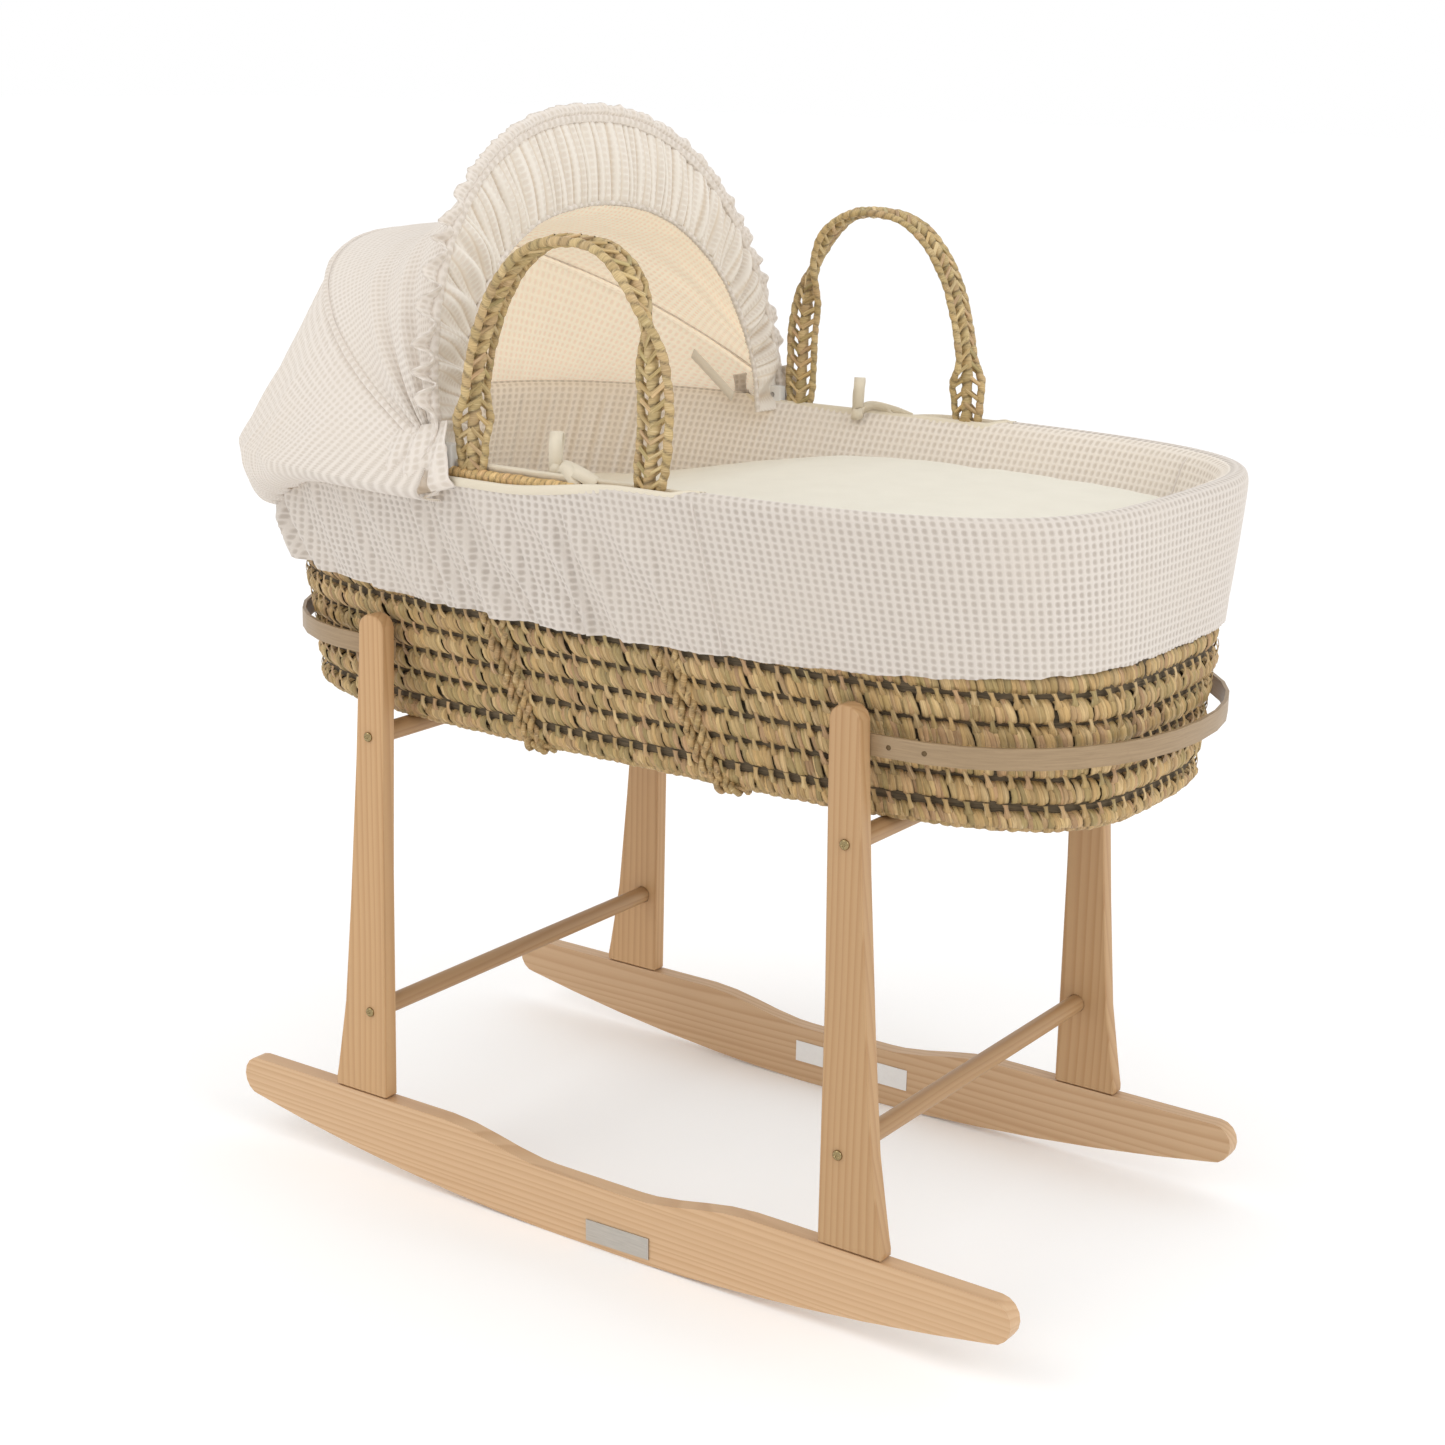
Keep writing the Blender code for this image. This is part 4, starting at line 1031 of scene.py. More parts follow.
def leaf_links(bundle, starts, ends, normals, width, thick, draw, shade=0.9):
    """Flattened loops of leaf from one set of points to another, standing slightly proud in the middle."""
    count, steps, sides = len(starts), 6, 8
    t = np.linspace(0, 1, steps)[None, :, None, None]
    phi = full_turn(sides)[None, None, :, None]
    starts, ends, normals = starts[:, None, None], ends[:, None, None], normals[:, None, None]
    run = ends - starts
    across = np.cross(normals, run)
    across /= np.linalg.norm(across, axis=-1, keepdims=True)
    wide = draw.uniform(0.8, 1.25, (count, 1, 1, 1)) * width / 2 * (1 - 0.25 * np.sin(math.pi * t))
    points = starts + run * t + across * wide * np.cos(phi) + normals * thick / 2 * np.sin(phi)
    uvs = leaf_uvs(
        points, np.cos(phi[..., 0]) * width * 500 + draw.uniform(0, 900, (count, 1, 1)), t[..., 0] * 12
    )
    bundle.add(points, uvs, leaf_tints(draw, count, shade)[:, None, None], closed=True)


def rim_braid():
    """The bare woven rim: the top row of wraps and the braid along its edge, inside both handles."""
    draw = np.random.default_rng(9)
    for way, near in ((-1, "near"), (1, "far")):
        rim = Bundle()
        xs = np.linspace(GAP_HEAD_X - 0.05, GAP_FOOT_X + 0.05, 80)
        wrapped_cord(rim, side_line(xs, way, 0.6455, -0.0110), 0.0056, 0.0062, draw, 12, 0.2, shade=1.4)
        wrapped_cord(rim, side_line(xs, way, 0.6310, -0.0105), 0.0088, 0.0052, draw, 12, 0.16)
        finish_piece(rim.make(f"rim_braid_{near}", LEAF), "palm_leaf", "basket")


def side_line(xs, way, z, offset):
    """Points along one long side at these X, on the outline moved by the offset."""
    t = np.clip((z - EDGE_Z) / (RIM_Z - EDGE_Z), 0.0, 1.0)
    half_length = BASE_LENGTH_HALF + (RIM_LENGTH_HALF - BASE_LENGTH_HALF) * t + offset
    half_width = BASE_WIDTH_HALF + (RIM_WIDTH_HALF - BASE_WIDTH_HALF) * t**1.4 + offset
    middle = SHIFT - 0.0062 * (1 - t)
    y = half_width * (1 - (np.abs(xs - middle) / half_length) ** CORNER) ** (1 / CORNER)
    return np.stack([xs, way * y, z + 0 * xs], -1)


def swept_tape(node, xs, way, curve, top, section):
    """A folded tape along the cut edge of a draped sheet. section is (outward, up) points round the tape."""
    section = np.asarray(section, float)
    offset, z = profile_points(curve, top(side_line(xs, way, ROUND_Z, 0.0)))
    loops = [side_line(xs, way, z + up, offset) + np.array([0, way * out, 0]) for out, up in section]
    points = np.stack(loops, 1)
    across = distance_along(section) * 1000
    uvs = paired(xs[:, None] * 1000, across[None])
    tape = grid_object(node + "_edge", points, [TAPE], uvs, closed=True, flip=way > 0)
    finish_piece(tape, "cotton_tape", "basket", node)


SKIRT_TAPE = (
    (0.0014, -0.0072),
    (0.0020, -0.0066),
    (0.0019, -0.0010),
    (0.0010, 0.0010),
    (-0.0008, 0.0008),
    (-0.0016, -0.0010),
    (-0.0014, -0.0058),
    (0.0, -0.0074),
)
LINING_TAPE = (
    (0.0024, -0.0072),
    (0.0022, -0.0008),
    (0.0012, 0.0012),
    (-0.0004, 0.0012),
    (-0.0014, -0.0008),
    (-0.0016, -0.0062),
    (-0.0006, -0.0078),
    (0.0012, -0.0078),
)


def ribbon(bundle, path, wide, width, thick=0.0009):
    """A flat strip along a path; wide is the direction of its width, one per point of the path."""
    path = np.asarray(path, float)
    wide = np.broadcast_to(np.asarray(wide, float), path.shape)
    tangents = np.gradient(path, axis=0)
    normal = np.cross(tangents, wide)
    normal /= np.linalg.norm(normal, axis=1)[:, None]
    wide = np.cross(normal, tangents)
    wide /= np.linalg.norm(wide, axis=1)[:, None]
    loop = ((-0.5, -0.5), (0, -0.5), (0.5, -0.5), (0.5, 0.5), (0, 0.5), (-0.5, 0.5))
    points = np.stack([path + wide * width * a + normal * thick * b for a, b in loop], 1)
    along = distance_along(path) * 1000
    uvs = paired(along[:, None], np.array([a for a, _ in loop])[None] * width * 1000)
    add_tube(bundle, points, uvs)


def tie_bow(way, near):
    """A knot on the lining's tape, a standing loop, and two tails falling towards the foot end."""
    knot = Vector(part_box(f"tie_bow_{near}")[0]).lerp(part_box(f"tie_bow_{near}")[1], 0.5)
    base = np.array((knot.x - 0.006, way * (abs(knot.y) + 0.003), 0.6545))
    bow = Bundle()
    loop = [(0, 0, 0), (-0.004, 0.006, 0.014), (-0.003, 0.007, 0.025), (0.001, 0.000, 0.031)]
    loop += [(0.005, -0.007, 0.025), (0.004, -0.006, 0.012), (0, -0.001, 0.001)]
    ribbon(bow, base + smooth_path(loop, 40), (0.9, 0.45, 0), 0.0100)
    for reach, drop, width in ((0.050, -0.002, 0.0110), (0.033, -0.006, 0.0100)):
        tail = [
            (0, 0, 0.001),
            (0.012, way * 0.006, 0.006),
            (reach * 0.65, way * 0.011, 0.003),
            (reach, way * 0.014, drop),
        ]
        ribbon(bow, base + smooth_path(tail, 24), (0.1, -way * 0.55, 0.8), width)
    turns = np.linspace(0, 2 * math.pi, 14)
    band = base + np.stack(
        [0.0050 * np.cos(turns), way * (0.0045 * np.sin(turns)), 0.0022 * np.sin(turns)], -1
    )
    ribbon(bow, band, (0.2, 0, 1), 0.0100, 0.0016)
    bow = bow.make(f"tie_bow_{near}_ribbon", TAPE)
    finish_piece(bow, "cotton_tape", "basket", f"tie_bow_{near}")


def under_ropes():
    """Pairs of twisted leaf ropes from the handles down the walls and under the base."""
    draw = np.random.default_rng(31)
    for end, xs in (("head", (-0.112, -0.096, -0.083)), ("foot", (0.062, 0.086, 0.110))):
        top_x, mid_x, low_x = [x + SHIFT for x in xs]
        strap = Bundle()
        for spread in (-1, 1):
            wall = []
            for z in (0.526, 0.515, 0.500, 0.475, 0.450, 0.430):
                t = (0.517 - z) / (0.517 - 0.430)
                part = spread * (0.0085 - 0.0035 * t)
                stand_off = 0.0045 - 0.0065 * smooth_step((z - 0.506) / 0.018)
                y = abs(side_line(np.array([top_x]), 1, z, stand_off)[0, 1])
                wall.append((top_x + (mid_x - top_x) * t + part, -y, z))
            wall.append(((mid_x + low_x) / 2 + spread * 0.005, -(BASE_WIDTH_HALF + 0.0015), 0.4175))
            wall.append((low_x + spread * 0.0055, -(BASE_WIDTH_HALF - 0.008), 0.4095))
            far = [(x, -y, z) for x, y, z in reversed(wall)]
            route = smooth_path(wall + [(low_x + spread * 0.006, 0.0, 0.4080)] + far, 260)
            twisted_rope(strap, route, 0.0027, 0.0025, 0.023, draw, phase=spread)
        finish_piece(strap.make(f"under_ropes_{end}", LEAF), "palm_leaf", "basket", f"under_strap_{end}")


def twisted_rope(bundle, route, ply_radius, lay_radius, pitch, draw, phase=0.0):
    """Two plies twisted round each other along a route."""
    route, along = resample(route, 0.002)
    _, side, up = sweep_frames(route)
    for ply in (0, math.pi):
        angle = 2 * math.pi * along / pitch + ply + phase
        path = route + lay_radius * (np.cos(angle)[:, None] * side + np.sin(angle)[:, None] * up)
        wrapped_cord(bundle, path, ply_radius, 0.0115, draw, 8, 0.14, shade=0.92, step=0.0018)


build_weave()
rim_braid()
under_ropes()
for way, near in ((-1, "near"), (1, "far")):
    xs = np.linspace(GAP_HEAD_X - 0.014, GAP_FOOT_X + 0.026, 100)
    swept_tape(f"skirt_tape_{near}", xs, way, OUTSIDE, skirt_top, SKIRT_TAPE)
    swept_tape(f"lining_tape_{near}", xs, way, INSIDE, lining_top, LINING_TAPE)
    tie_bow(way, near)


# --- Handles ---------------------------------------------------------------------------------------

HANDLE_X, HANDLE_Y, HANDLE_Z = (-0.098 + SHIFT, 0.080 + SHIFT), 0.2355, 0.652
HANDLE_HEIGHT, HANDLE_LEAN, HANDLE_POWER = 0.180, 0.012, 2.5
HANDLE_STEP, TIE_STEPS = 0.003, 4


def handle_line(count=150):
    """(points, width directions, face directions, heights) along the near handle, from its head leg on."""
    angle = math.pi * (1 - np.linspace(0, 1, count))
    middle, half = sum(HANDLE_X) / 2, (HANDLE_X[1] - HANDLE_X[0]) / 2
    rise = HANDLE_HEIGHT * np.abs(np.sin(angle)) ** (2 / HANDLE_POWER)
    x = middle + half * rounded(np.cos(angle), HANDLE_POWER) + HANDLE_LEAN * (rise / HANDLE_HEIGHT) ** 2
    points = np.stack([x, -HANDLE_Y + 0 * x, HANDLE_Z + 0.001 + rise], -1)
    root = np.linspace(-0.030, -0.002, 12)
    low = [
        np.array(
            [(points[k, 0], -HANDLE_Y - 0.003 * (r / 0.03), points[k, 2] + r) for r in root]
        ) for k in (0, -1)
    ]
    points = np.concatenate([low[0], points, low[1][::-1]])
    points, _ = resample(points, HANDLE_STEP)
    along = np.gradient(points, axis=0)
    along /= np.linalg.norm(along, axis=1)[:, None]
    rise = points[:, 2] - HANDLE_Z
    turn = np.where(
        points[:, 0] > middle, smooth_step((rise - 0.075) / 0.09), smooth_step((rise - 0.014) / 0.05)
    )
    across_wall = np.cross((0, 1, 0), along)
    wide = across_wall * (1 - turn[:, None]) + np.array([0, 1, 0]) * turn[:, None]
    wide /= np.linalg.norm(wide, axis=1)[:, None]
    face = np.cross(along, wide)
    return points, wide, face / np.linalg.norm(face, axis=1)[:, None], rise


HANDLE_TONE = (1.06, 1.14, 1.22)
HANDLE_CORDS = (("left", -0.0128), ("middle", 0.0004), ("right", 0.0130))


def braided_handle(way, near, seed):
    """Two thin wound cords and a thicker middle one, tied across every 12 mm, with small holes between."""
    draw = np.random.default_rng(seed)
    points, wide, face, rise = handle_line()
    if way > 0:
        middle = sum(HANDLE_X) / 2
        turn = np.array([-1, -1, 1])
        points = points * turn + np.array([2 * middle, 0, 0])
        wide, face = wide * turn, face * turn
    inward = 0.010 * np.clip(1 - (rise + 0.02) / 0.10, 0, 1) ** 2 if way < 0 else 0 * rise
    points = points - np.array([1, 0, 0]) * (inward * (points[:, 0] > sum(HANDLE_X) / 2))[:, None]
    spread = 0.72 + 0.28 * smooth_step((rise + 0.01) / 0.03)
    drift = 0.0007 * wobble(np.arange(len(points)) * 0.25, seed)
    lines = {name: points + wide * (place * spread + drift)[:, None] for name, place in HANDLE_CORDS}
    braid = Bundle()
    wrapped_cord(braid, lines["left"], 0.0037, 0.0095, draw, 12, 0.22, shade=HANDLE_TONE)
    wrapped_cord(braid, lines["middle"], 0.0052, 0.0115, draw, 14, 0.26, lean=-1, shade=HANDLE_TONE)
    wrapped_cord(braid, lines["right"], 0.0032, 0.0088, draw, 12, 0.22, shade=HANDLE_TONE)
    ties = np.arange(5, len(points) - 6, TIE_STEPS)
    for edge, reach in (("left", 3), ("right", 3)):
        for level in (0.0028, -0.0028):
            start = lines[edge][ties] + face[ties] * level * 0.5
            inner = np.clip(ties + reach, 0, len(points) - 1)
            end = lines["middle"][inner] + face[inner] * level * 1.5
            leaf_links(braid, start, end, face[ties], 0.0046, 0.0026, draw, HANDLE_TONE)
    handle = braid.make(f"handle_{near}_braid", LEAF)
    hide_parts(f"handle_{near}")
    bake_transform(handle)


braided_handle(-1, "near", 41)
braided_handle(1, "far", 42)


# --- Hood ------------------------------------------------------------------------------------------


def arch(theta, angle, half, reach, power, offset=0.0):
    """A point of a hood arch. theta runs from 0 at the near pivot to pi at the far one; angle is its rise."""
    c, s = np.cos(theta), np.abs(np.sin(theta))
    y = -(half + offset) * rounded(c, power)
    out = (reach + offset) * s ** (2 / power)
    return np.stack([PIVOT.x - out * np.cos(angle), y, PIVOT.z + out * np.sin(angle)], -1)


FORWARD = np.array([math.sin(FRONT_ANGLE), 0, math.cos(FRONT_ANGLE)])
ABOVE_REAR = np.array([math.sin(REAR_ANGLE), 0, math.cos(REAR_ANGLE)])


def front_wire(theta, offset=0.0):
    return arch(theta, FRONT_ANGLE, FRONT_Y, FRONT_REACH, FRONT_POWER, offset)


def rear_wire(theta, offset=0.0):
    return arch(theta, REAR_ANGLE, REAR_Y, REAR_REACH, REAR_POWER, offset)


def even_thetas(count, low=0.0, high=math.pi):
    """Arch angles whose points on the front wire are evenly spaced."""
    fine = np.linspace(low, high, 2001)
    points = front_wire(fine)
    along = distance_along(points)
    return np.interp(np.linspace(0, along[-1], count), along, fine), along[-1]


def blend_panel(obj, weights):
    """Bakes the piece's placement into its mesh. The weights are not used."""
    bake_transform(obj)


def nearest_weights(obj, points, values):
    """A value for each vertex of the piece, from the nearest of these points."""
    tree = KDTree(len(points))
    for k, point in enumerate(points):
        tree.insert(point, k)
    tree.balance()
    return [values[tree.find(vertex.co)[1]] for vertex in obj.data.vertices]


def end_part(place, length):
    """1 at both ends of a band, falling to 0 over this part of its length."""
    return smooth_step((length - np.minimum(place, 1 - place)) / length)


def droop(points, ends, drop):
    """Carries a band's two ends straight down by up to drop, where ends is 1 there and 0 elsewhere."""
    return points - np.array([0, 0, 1]) * (ends * drop)[..., None]


PIVOT_CORE = 0.012  # the cloth this near to the pivots is given a weight of one half


def front_panel():
    """The hood's side and top between the two wires: it sags, and folds run out from both pivots."""
    columns, rows = 200, 56
    theta = even_thetas(columns, 0.03, math.pi - 0.03)[0][None]
    t = np.linspace(0, 1, rows)[:, None]
    angle = FRONT_ANGLE + (REAR_ANGLE - FRONT_ANGLE) * t
    half = FRONT_Y + (REAR_Y - FRONT_Y) * t + 0.001
    power = FRONT_POWER + (REAR_POWER - FRONT_POWER) * t
    sag = 0.074 * np.sin(math.pi * t) * np.sin(theta) ** 2
    reach = FRONT_REACH + (REAR_REACH - FRONT_REACH) * t - sag
    c, s = np.cos(theta), np.sin(theta)
    side = np.minimum(theta, math.pi - theta)
    folds = np.exp(-((side / 0.75) ** 2)) * smooth_step(side / 0.12)
    ripple = np.sin(math.pi * t) * (
        folds * (0.0055 * np.sin(t * 19 + 1.5 * side) + 0.003 * np.sin(t * 37 + 2))
    )
    ripple = ripple + 0.0022 * np.sin(math.pi * t) * wobble(theta * 5 + t * 6, 51) - 0.001
    y = -(half + ripple * 0.8) * np.sign(c) * np.abs(c) ** (2 / power)
    out = (reach + ripple) * s ** (2 / power)
    points = np.stack([PIVOT.x - out * np.cos(angle), y, PIVOT.z + out * np.sin(angle)], -1)
    points = points + (-FORWARD * (1 - t[..., None]) + ABOVE_REAR * t[..., None]) * 0.0030
    around = np.broadcast_to(np.linspace(0, 0.95, columns)[None], (rows, columns))
    uvs = np.stack([around / CELL_WIDE, t * 0.27 / CELL_WIDE + 0 * around], -1)
    panel = grid_object("hood_front_panel", points, [WAFFLE_HOOD], uvs)
    thicken(panel, CLOTH_THICK, 0, WAFFLE_WARM)
    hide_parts("canopy_front")
    co = np.array([v.co for v in panel.data.vertices]) - np.array(PIVOT)
    risen = np.arctan2(co[:, 2], -co[:, 0])
    weights = np.clip((risen - REAR_ANGLE) / (FRONT_ANGLE - REAR_ANGLE), 0, 1)
    weights[np.hypot(co[:, 0], co[:, 2]) < PIVOT_CORE] = 0.5
    blend_panel(panel, weights)


def back_panel():
    """The hood's bulging back, from the rear wire to the gathered hem that grips the basket's head end."""
    columns, rows = 220, 64
    theta = np.linspace(0.012, math.pi - 0.012, columns)[None, :, None]
    t = np.linspace(0, 1, rows)[:, None, None]
    start = rear_wire(theta[..., 0]) - ABOVE_REAR * 0.0030
    side = np.minimum(theta, math.pi - theta)
    along = 0.12 + 0.88 * smooth_step((side - 0.157) / 1.1)
    hem_angle = math.pi / 2 + 0.33 + (math.pi - 0.66) * (math.pi - theta) / math.pi
    hem_angle = hem_angle + 0.225 * smooth_step((0.5 - theta) / 0.5)
    hem_angle = hem_angle - 0.225 * smooth_step((theta - math.pi + 0.5) / 0.5)
    aside = smooth_step((np.abs(hem_angle - math.pi) - 0.35) / 0.85)
    hem_z = 0.571 + (0.6228 - 0.571) * aside
    gather = wobble(theta * 46, 61, 3)
    hem = outline(hem_angle[..., 0], hem_z[..., 0], 0.0075 + 0.0016 * gather[..., 0])
    swell = outline(hem_angle[..., 0], 0.655 + 0 * hem_z[..., 0], 0.016 + 0.010 * along[..., 0])
    lift = swell.copy()
    lift[..., 2] = 0.634 + 0.004 * along[..., 0]
    low = swell.copy()
    low[..., 2] = hem_z[..., 0] + 0.002
    u = np.clip(t / 0.5, 0, 1)
    upper = start * (1 - u) ** 2 + (start * 0.3 + lift * 0.7) * 2 * u * (1 - u) + lift * u * u
    u = np.clip((t - 0.5) / 0.5, 0, 1)
    lower = lift * (1 - u) ** 2 + low * 2 * u * (1 - u) + hem * u * u
    points = np.where(t < 0.5, upper, lower)
    normal = np.stack([np.cos(hem_angle[..., 0]), np.sin(hem_angle[..., 0]), 0 * hem_z[..., 0] + 0.25], -1)
    folds = np.sin(math.pi * t) * (
        0.0030 * wobble(theta * 9 + t * 5, 62) + 0.0022 * wobble(theta * 24 - t * 3, 63)
    )
    tight = smooth_step((t - 0.72) / 0.2) * 0.0028 * gather
    tight = tight + smooth_step((0.16 - t) / 0.16) * 0.0009 * wobble(theta * 70, 64)
    points = points + normal * (folds * smooth_step(side / 0.5) + tight)
    around = np.broadcast_to(theta[..., 0] * 0.33, (rows, columns))
    uvs = np.stack([around / CELL_WIDE, np.broadcast_to(t[..., 0] * 0.25, (rows, columns)) / CELL_HIGH], -1)
    panel = grid_object("hood_back_panel", points, [WAFFLE_HOOD], uvs)
    weights = smooth_step(1 - np.broadcast_to(t[..., 0], (rows, columns)) / 0.6)
    flat_points, flat_weights = points.reshape(-1, 3), weights.reshape(-1)
    thicken(panel, CLOTH_THICK, 0, WAFFLE_WARM)
    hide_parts("canopy_back")
    blend_panel(
        panel,
        nearest_weights(panel, flat_points, flat_weights),
    )


def gathered_tube(name, path, radius, ripple, pitch, look, body):
    """A narrow channel of cloth gathered over a wire."""
    path, along = resample(path, 0.0016)
    _, side, up = sweep_frames(path)
    phi = full_turn(12)
    phase = 2 * math.pi * along / pitch
    crimp = np.sin(phase + 1.3 * wobble(along * 90, 71))[:, None] * (0.7 + 0.3 * np.sin(phi)[None])
    thick = radius + ripple * crimp + 0.0005 * wobble(along * 60, 72)[:, None]
    ring = rings_round(side, up, phi)
    points = path[:, None] + thick[..., None] * ring
    uvs = paired(along[:, None] / CELL_WIDE, phi[None] * radius / CELL_WIDE)
    tube = grid_object(name, points, [look], uvs, closed=True)
    finish_piece(tube, "waffle_cotton", body)


PLEATS = 78


def brim():
    """The pleated band in the front hoop's plane, from its elastic edge out to the wire."""
    columns, rows = 900, 22
    theta, _ = even_thetas(columns)
    s = np.linspace(0, 1, rows)[:, None]
    inner = arch(theta, FRONT_ANGLE, 0.205, 0.1858, FRONT_POWER)[None]
    outer = front_wire(theta, -0.0015)[None]
    place = np.linspace(0, 1, columns)[None]
    fold = PLEATS * place + 0.6 * wobble(place * 40, 81)
    pleat = np.abs(np.sin(math.pi * fold)) ** 0.7 * 2 - 1
    loose = smooth_step((np.abs(place - 0.5) - 0.12) / 0.2)
    coarse = np.sin(2 * math.pi * 24 * place + 2.0 * wobble(place * 50, 82, 3) + 2.2 * s)
    deep = 0.0024 * (1 - 0.4 * s) * (1 - 0.4 * loose) * pleat
    deep = deep + (0.0016 + 0.0050 * loose) * coarse * np.sin(math.pi * (0.12 + 0.76 * s))
    swell = 0.0045 * np.sin(math.pi * s) ** 0.8
    points = inner * (1 - s[..., None]) + outer * s[..., None]
    points = points + FORWARD * (0.0005 + swell + deep)[..., None]
    points = droop(points, end_part(place, 0.03) + 0 * s, 0.014)
    uvs = paired(fold * 1.5, s * 0.070 / CELL_HIGH)
    piece = grid_object("hood_brim_pleats", points, [WAFFLE_PLEAT], uvs)
    thicken(piece, 0.0010, 0, WAFFLE_WARM)
    finish_piece(piece, "waffle_cotton", "hood_front", "hood_brim")
    edge = inner[0] + FORWARD * 0.0005 + np.array([0, 0, -1]) * (end_part(place[0], 0.03) * 0.014)[:, None]
    gathered_tube("hood_brim_elastic", edge, 0.0022, 0.0007, 0.0042, WAFFLE_HOOD, "hood_front")


def frill():
    """The ruffle beyond the wire: rolled tight over the top, and loose and wavy towards both ends."""
    columns, rows = 900, 16
    theta, length = even_thetas(columns)
    place = np.linspace(0, 1, columns)[None]
    s = np.linspace(0, 1, rows)[:, None]
    loose = smooth_step((np.abs(place - 0.5) - 0.16) / 0.2)
    near_end = smooth_step((0.30 - place) / 0.14)
    phase = 2 * math.pi * (place * length / 0.024) + 2.4 * wobble(place * 26, 91)
    wave = np.sin(phase) * (0.0012 + 0.0036 * loose + 0.0052 * near_end) + 0.0014 * np.sin(phase * 2.3 + 1)
    reach = 0.0015 + (0.0110 + 0.0022 * loose * np.cos(phase + 1.2) + 0.0013 * wobble(place * 160, 92)) * s
    roll = 0.0048 * np.sin(math.pi * s) * (1 - 0.6 * loose)
    points = np.stack([front_wire(theta, r) for r in reach])
    points = points + FORWARD * (wave * s**0.8 + roll)[..., None]
    ends = end_part(place, 0.060) + 0 * s
    points = droop(points, ends, 0.032)
    uvs = paired(place * length * 1.7 / CELL_WIDE, s * 0.018 / CELL_WIDE)
    piece = grid_object("hood_frill_ruffle", points, [WAFFLE_HOOD], uvs)
    thicken(piece, CLOTH_THICK, 0)
    finish_piece(piece, "waffle_cotton", "hood_front", "hood_frill")
    channel = front_wire(theta, 0.0005) + FORWARD * 0.0008
    gathered_tube(
        "hood_front_channel", channel, 0.0040, 0.0007, 0.0060, WAFFLE_HOOD, "hood_front"
    )


def hood_corner(way, near):
    """The fabric that hangs over the pivot, below the end of the frill."""
    columns, rows = 40, 26
    u = np.linspace(0, 1, columns)[None, :, None]
    v = np.linspace(0, 1, rows)[:, None, None]
    at = np.array(PIVOT)
    upper = at + (-0.055, way * 0.2430, 0.012) + np.array([0.066, way * 0.0015, 0.016]) * u
    lower = at + (-0.062, way * 0.2570, -0.032) + np.array([0.081, way * -0.002, 0.008]) * u
    lower = lower - np.array([0, 0, 0.005]) * np.sin(math.pi * u)
    points = upper * (1 - v) + lower * v
    ripple = np.sin(2 * math.pi * (u * 3.1 + 0.5 * v) + 1.0) * (0.3 + v) * 0.0030
    ripple = ripple + 0.0016 * wobble(u * 30 + v * 9, 95)
    out = 0.0085 * np.sin(math.pi * (0.1 + 0.8 * v)) * np.sin(math.pi * (0.12 + 0.8 * u)) + ripple
    points = points + np.array([0, way, 0]) * out
    tuck = smooth_step((v - 0.86) / 0.14) * 0.006
    points = points - np.array([0, way, 0]) * tuck
    uvs = paired(u[..., 0] * 0.075 / CELL_WIDE, v[..., 0] * 0.055 / CELL_HIGH)
    corner = grid_object(f"hood_corner_{near}", points, [WAFFLE_HOOD], uvs, flip=way < 0)
    thicken(corner, CLOTH_THICK, 0)
    finish_piece(corner, "waffle_cotton", "hood_front")


def hood_trim():
    theta = np.linspace(0.03, math.pi - 0.03, 300)
    piping = rear_wire(theta, 0.0007)
    gathered_tube("hood_rear_piping", piping, 0.0031, 0.0001, 0.004, WAFFLE_HOOD, "hood_rear")
    sleeve = rear_wire(theta, -0.0034) - ABOVE_REAR * 0.0006
    gathered_tube("hood_rear_channel", sleeve, 0.0026, 0.0002, 0.006, WAFFLE_WARM, "hood_rear")
    strip = Bundle()
    path = smooth_path(
        [(PIVOT.x - 0.088, 0.224, 0.692), (PIVOT.x - 0.062, 0.221, 0.674), (PIVOT.x - 0.036, 0.217, 0.656)],
        20,
    )
    ribbon(strip, path, (0.3, -0.3, 0.9), 0.0115)
    strip = strip.make("hood_ribbon", RIBBON)
    finish_piece(strip, "cotton_tape", "basket")
    for near in ("near", "far"):
        for node, look, slot in (
            ("hood_bracket", PLASTIC, "white_plastic"), ("hood_pin", STEEL, "steel_wire")
        ):
            sharp_copy(f"{node}_{near}", look, 40, "basket")


front_panel()
back_panel()
brim()
frill()
hood_trim()
hood_corner(-1, "near")
hood_corner(1, "far")
sharp_copy("hood_wire_front", STEEL, 60, "hood_front")
sharp_copy("hood_wire_rear", STEEL, 60, "hood_rear")


# --- Bedding ---------------------------------------------------------------------------------------


VOXEL = 0.006
CLOTH_FRAMES = 20


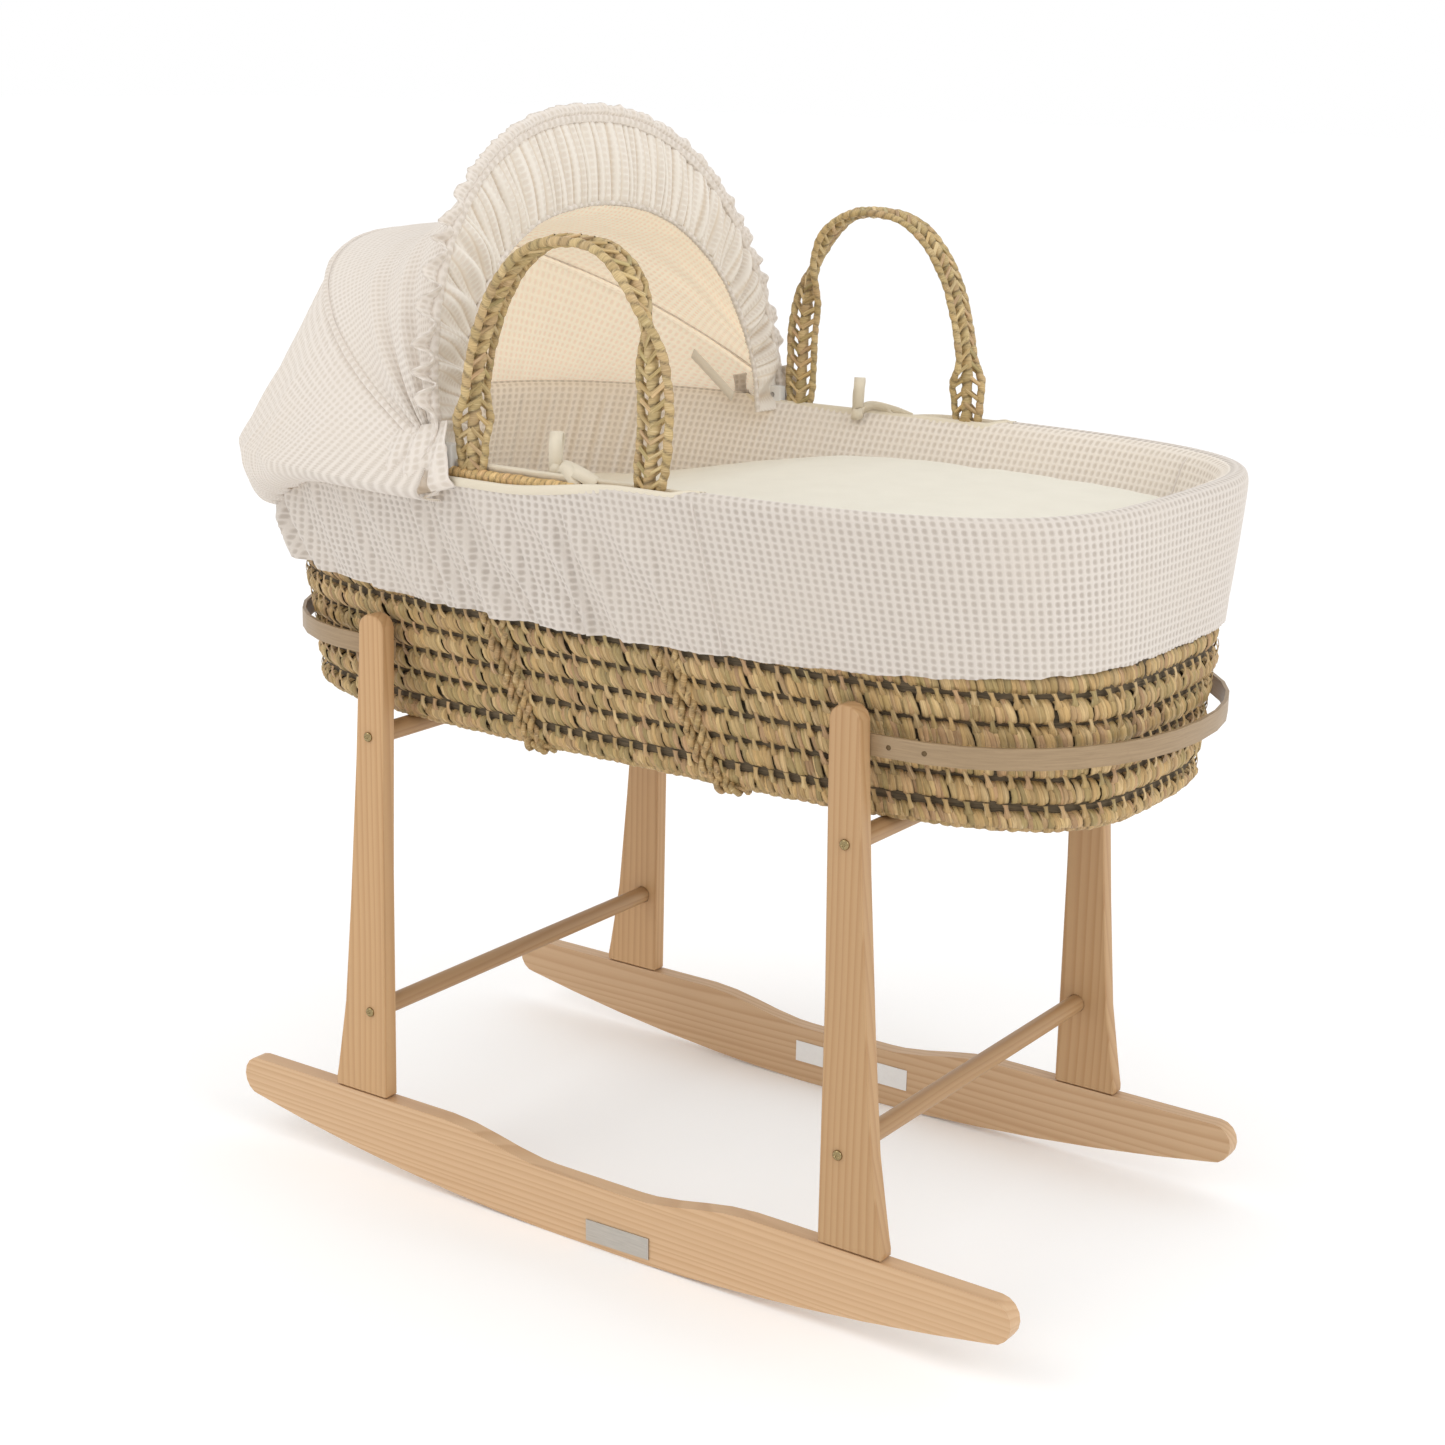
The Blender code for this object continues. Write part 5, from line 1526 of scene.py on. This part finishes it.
def puffed(node, name, look, slot, body, pressure, cap, shrink):
    """The pad's solid, remeshed, blown up as cloth, and held within cap of where it started."""
    mesh = frame["nodes"][node].data.copy()
    obj = bpy.data.objects.new(name, mesh)
    bpy.context.scene.collection.objects.link(obj)
    middle = sum((Vector(corner) for corner in obj.bound_box), Vector()) / 8
    size = Vector(obj.dimensions)
    for vertex in mesh.vertices:
        vertex.co = middle + Vector(
            [(v - m) * (1 - 2 * shrink / s) for v, m, s in zip(vertex.co, middle, size)]
        )
    remesh = obj.modifiers.new("remesh", "REMESH")
    remesh.mode = "VOXEL"
    remesh.voxel_size = VOXEL
    apply_modifiers(obj)
    before = np.array([v.co for v in obj.data.vertices])
    cloth = obj.modifiers.new("cloth", "CLOTH")
    cloth.settings.use_pressure = True
    cloth.settings.uniform_pressure_force = pressure
    cloth.settings.effector_weights.gravity = 0
    for number in range(1, CLOTH_FRAMES + 1):
        bpy.context.scene.frame_set(number)
    apply_modifiers(obj)
    bpy.context.scene.frame_set(1)
    after = np.array([v.co for v in obj.data.vertices])
    move = after - before
    far = np.linalg.norm(move, axis=1)
    after = before + move * (np.minimum(far, cap) / np.maximum(far, 1e-9))[:, None]
    obj.data.vertices.foreach_set("co", after.ravel())
    finer = obj.modifiers.new("finer", "SUBSURF")
    finer.levels = finer.render_levels = 1
    apply_modifiers(obj)
    uv = obj.data.uv_layers.new(name="UVMap")
    co = np.array([v.co for v in obj.data.vertices])
    corners = np.array([loop.vertex_index for loop in obj.data.loops])
    uv.uv.foreach_set("vector", (co[corners][:, :2] * 1000).astype(np.float32).ravel())
    obj.data.materials.clear()
    obj.data.materials.append(look)
    obj.data.shade_smooth()
    finish_piece(obj, slot, body, node)


puffed("mattress", "mattress_cover", JERSEY, "jersey", "mattress", 4.0, 0.005, 0.003)
puffed("under_pad", "under_pad_cover", WADDING, "wadding", "basket", 3.0, 0.003, 0.002)


# --- Screws, badge and label -----------------------------------------------------------------------


def screw_head(node, centre, way, radius):
    """A domed pan head with a cross recess, on a short plain shank. way is the sign of Y that it faces."""
    rings, sides = 16, 40
    r = np.linspace(0, 1, rings)[:, None]
    phi = full_turn(sides)[None]
    u, v = r * np.cos(phi), r * np.sin(phi)
    arm = np.maximum(
        smooth_step((0.17 - np.abs(u)) / 0.05) * (np.abs(v) < 0.62),
        smooth_step((0.17 - np.abs(v)) / 0.05) * (np.abs(u) < 0.62),
    )
    height = 0.0027 * np.sqrt(np.clip(1 - (r * 0.96) ** 2.6, 0, 1)) - 0.0013 * arm * (1 - 0.7 * r)
    face = np.stack(np.broadcast_arrays(radius * u, way * height, radius * v), -1)
    rim = face[-1] * (1, 0, 1)
    shank = face[-1] * (0.45, 0, 0.45)
    rows = [*face, rim, shank, shank - (0, way * 0.006, 0), shank * 0.05 - (0, way * 0.006, 0)]
    head = grid_object(node + "_head", np.array(rows) + np.array(centre), [ZINC], closed=True, flip=way > 0)
    finish_piece(head, "yellow_zinc", "stand", node)


NAIL_RADIUS = 0.0021


def hoop_nails():
    """Two small sunk nails in the foot hoop, beside each foot leg."""
    hoop = np.array([v.co for v in frame["nodes"]["end_hoop_foot"].data.vertices])
    for way, near in ((-1, "near"), (1, "far")):
        side = hoop[hoop[:, 1] * way > 0]
        xs = np.unique(np.round(side[:, 0], 4))
        outer = np.array([np.abs(side[np.abs(side[:, 0] - x) < 0.002][:, 1]).max() for x in xs])
        middle = (side[:, 2].max() + side[:, 2].min()) / 2
        pins = Bundle()
        for x in (SHIFT + 0.264, SHIFT + 0.293):
            y = np.interp(x, xs, outer)
            slope = (np.interp(x + 0.01, xs, outer) - np.interp(x - 0.01, xs, outer)) / 0.02
            normal = Vector((-slope, 1, 0)).normalized() * Vector((1, way, 0))
            across = normal.cross(Vector((0, 0, 1)))
            phi = full_turn(16)[None, :, None]
            r = np.array([0.02, 0.4, 0.7, 0.9, 1.0, 1.0])[:, None, None]
            high = np.array([0.0004, 0.0004, 0.0003, 0.0002, 0.0000, -0.0020])[:, None, None]
            at = np.array((x, way * y, middle))
            disc = at + NAIL_RADIUS * r * (np.cos(phi) * np.array(across) + np.sin(phi) * np.array((0, 0, 1)))
            disc = disc + high * np.array(normal)
            add_tube(pins, disc, leaf_uvs(disc[None], 0, 0)[0])
        finish_piece(pins.make(f"hoop_nails_{near}", NAIL), "yellow_zinc", "stand")


hoop_nails()
for way, near in ((-1, "near"), (1, "far")):
    for side, end in ((-1, "head"), (1, "foot")):
        for height, x, z in (("upper", 0.2392, 0.4013), ("lower", 0.2424, 0.1502)):
            screw_head(
                f"crossbar_screw_{near}_{end}_{height}", (SHIFT + side * x, way * 0.2081, z), way, 0.0043
            )
        screw_head(f"hoop_screw_{near}_{end}", (SHIFT + side * 0.2345, way * 0.1890, 0.4772), -way, 0.0038)
sharp_copy("badge_plate", NICKEL, 40)
sharp_copy("blank_label", PAPER, 40)
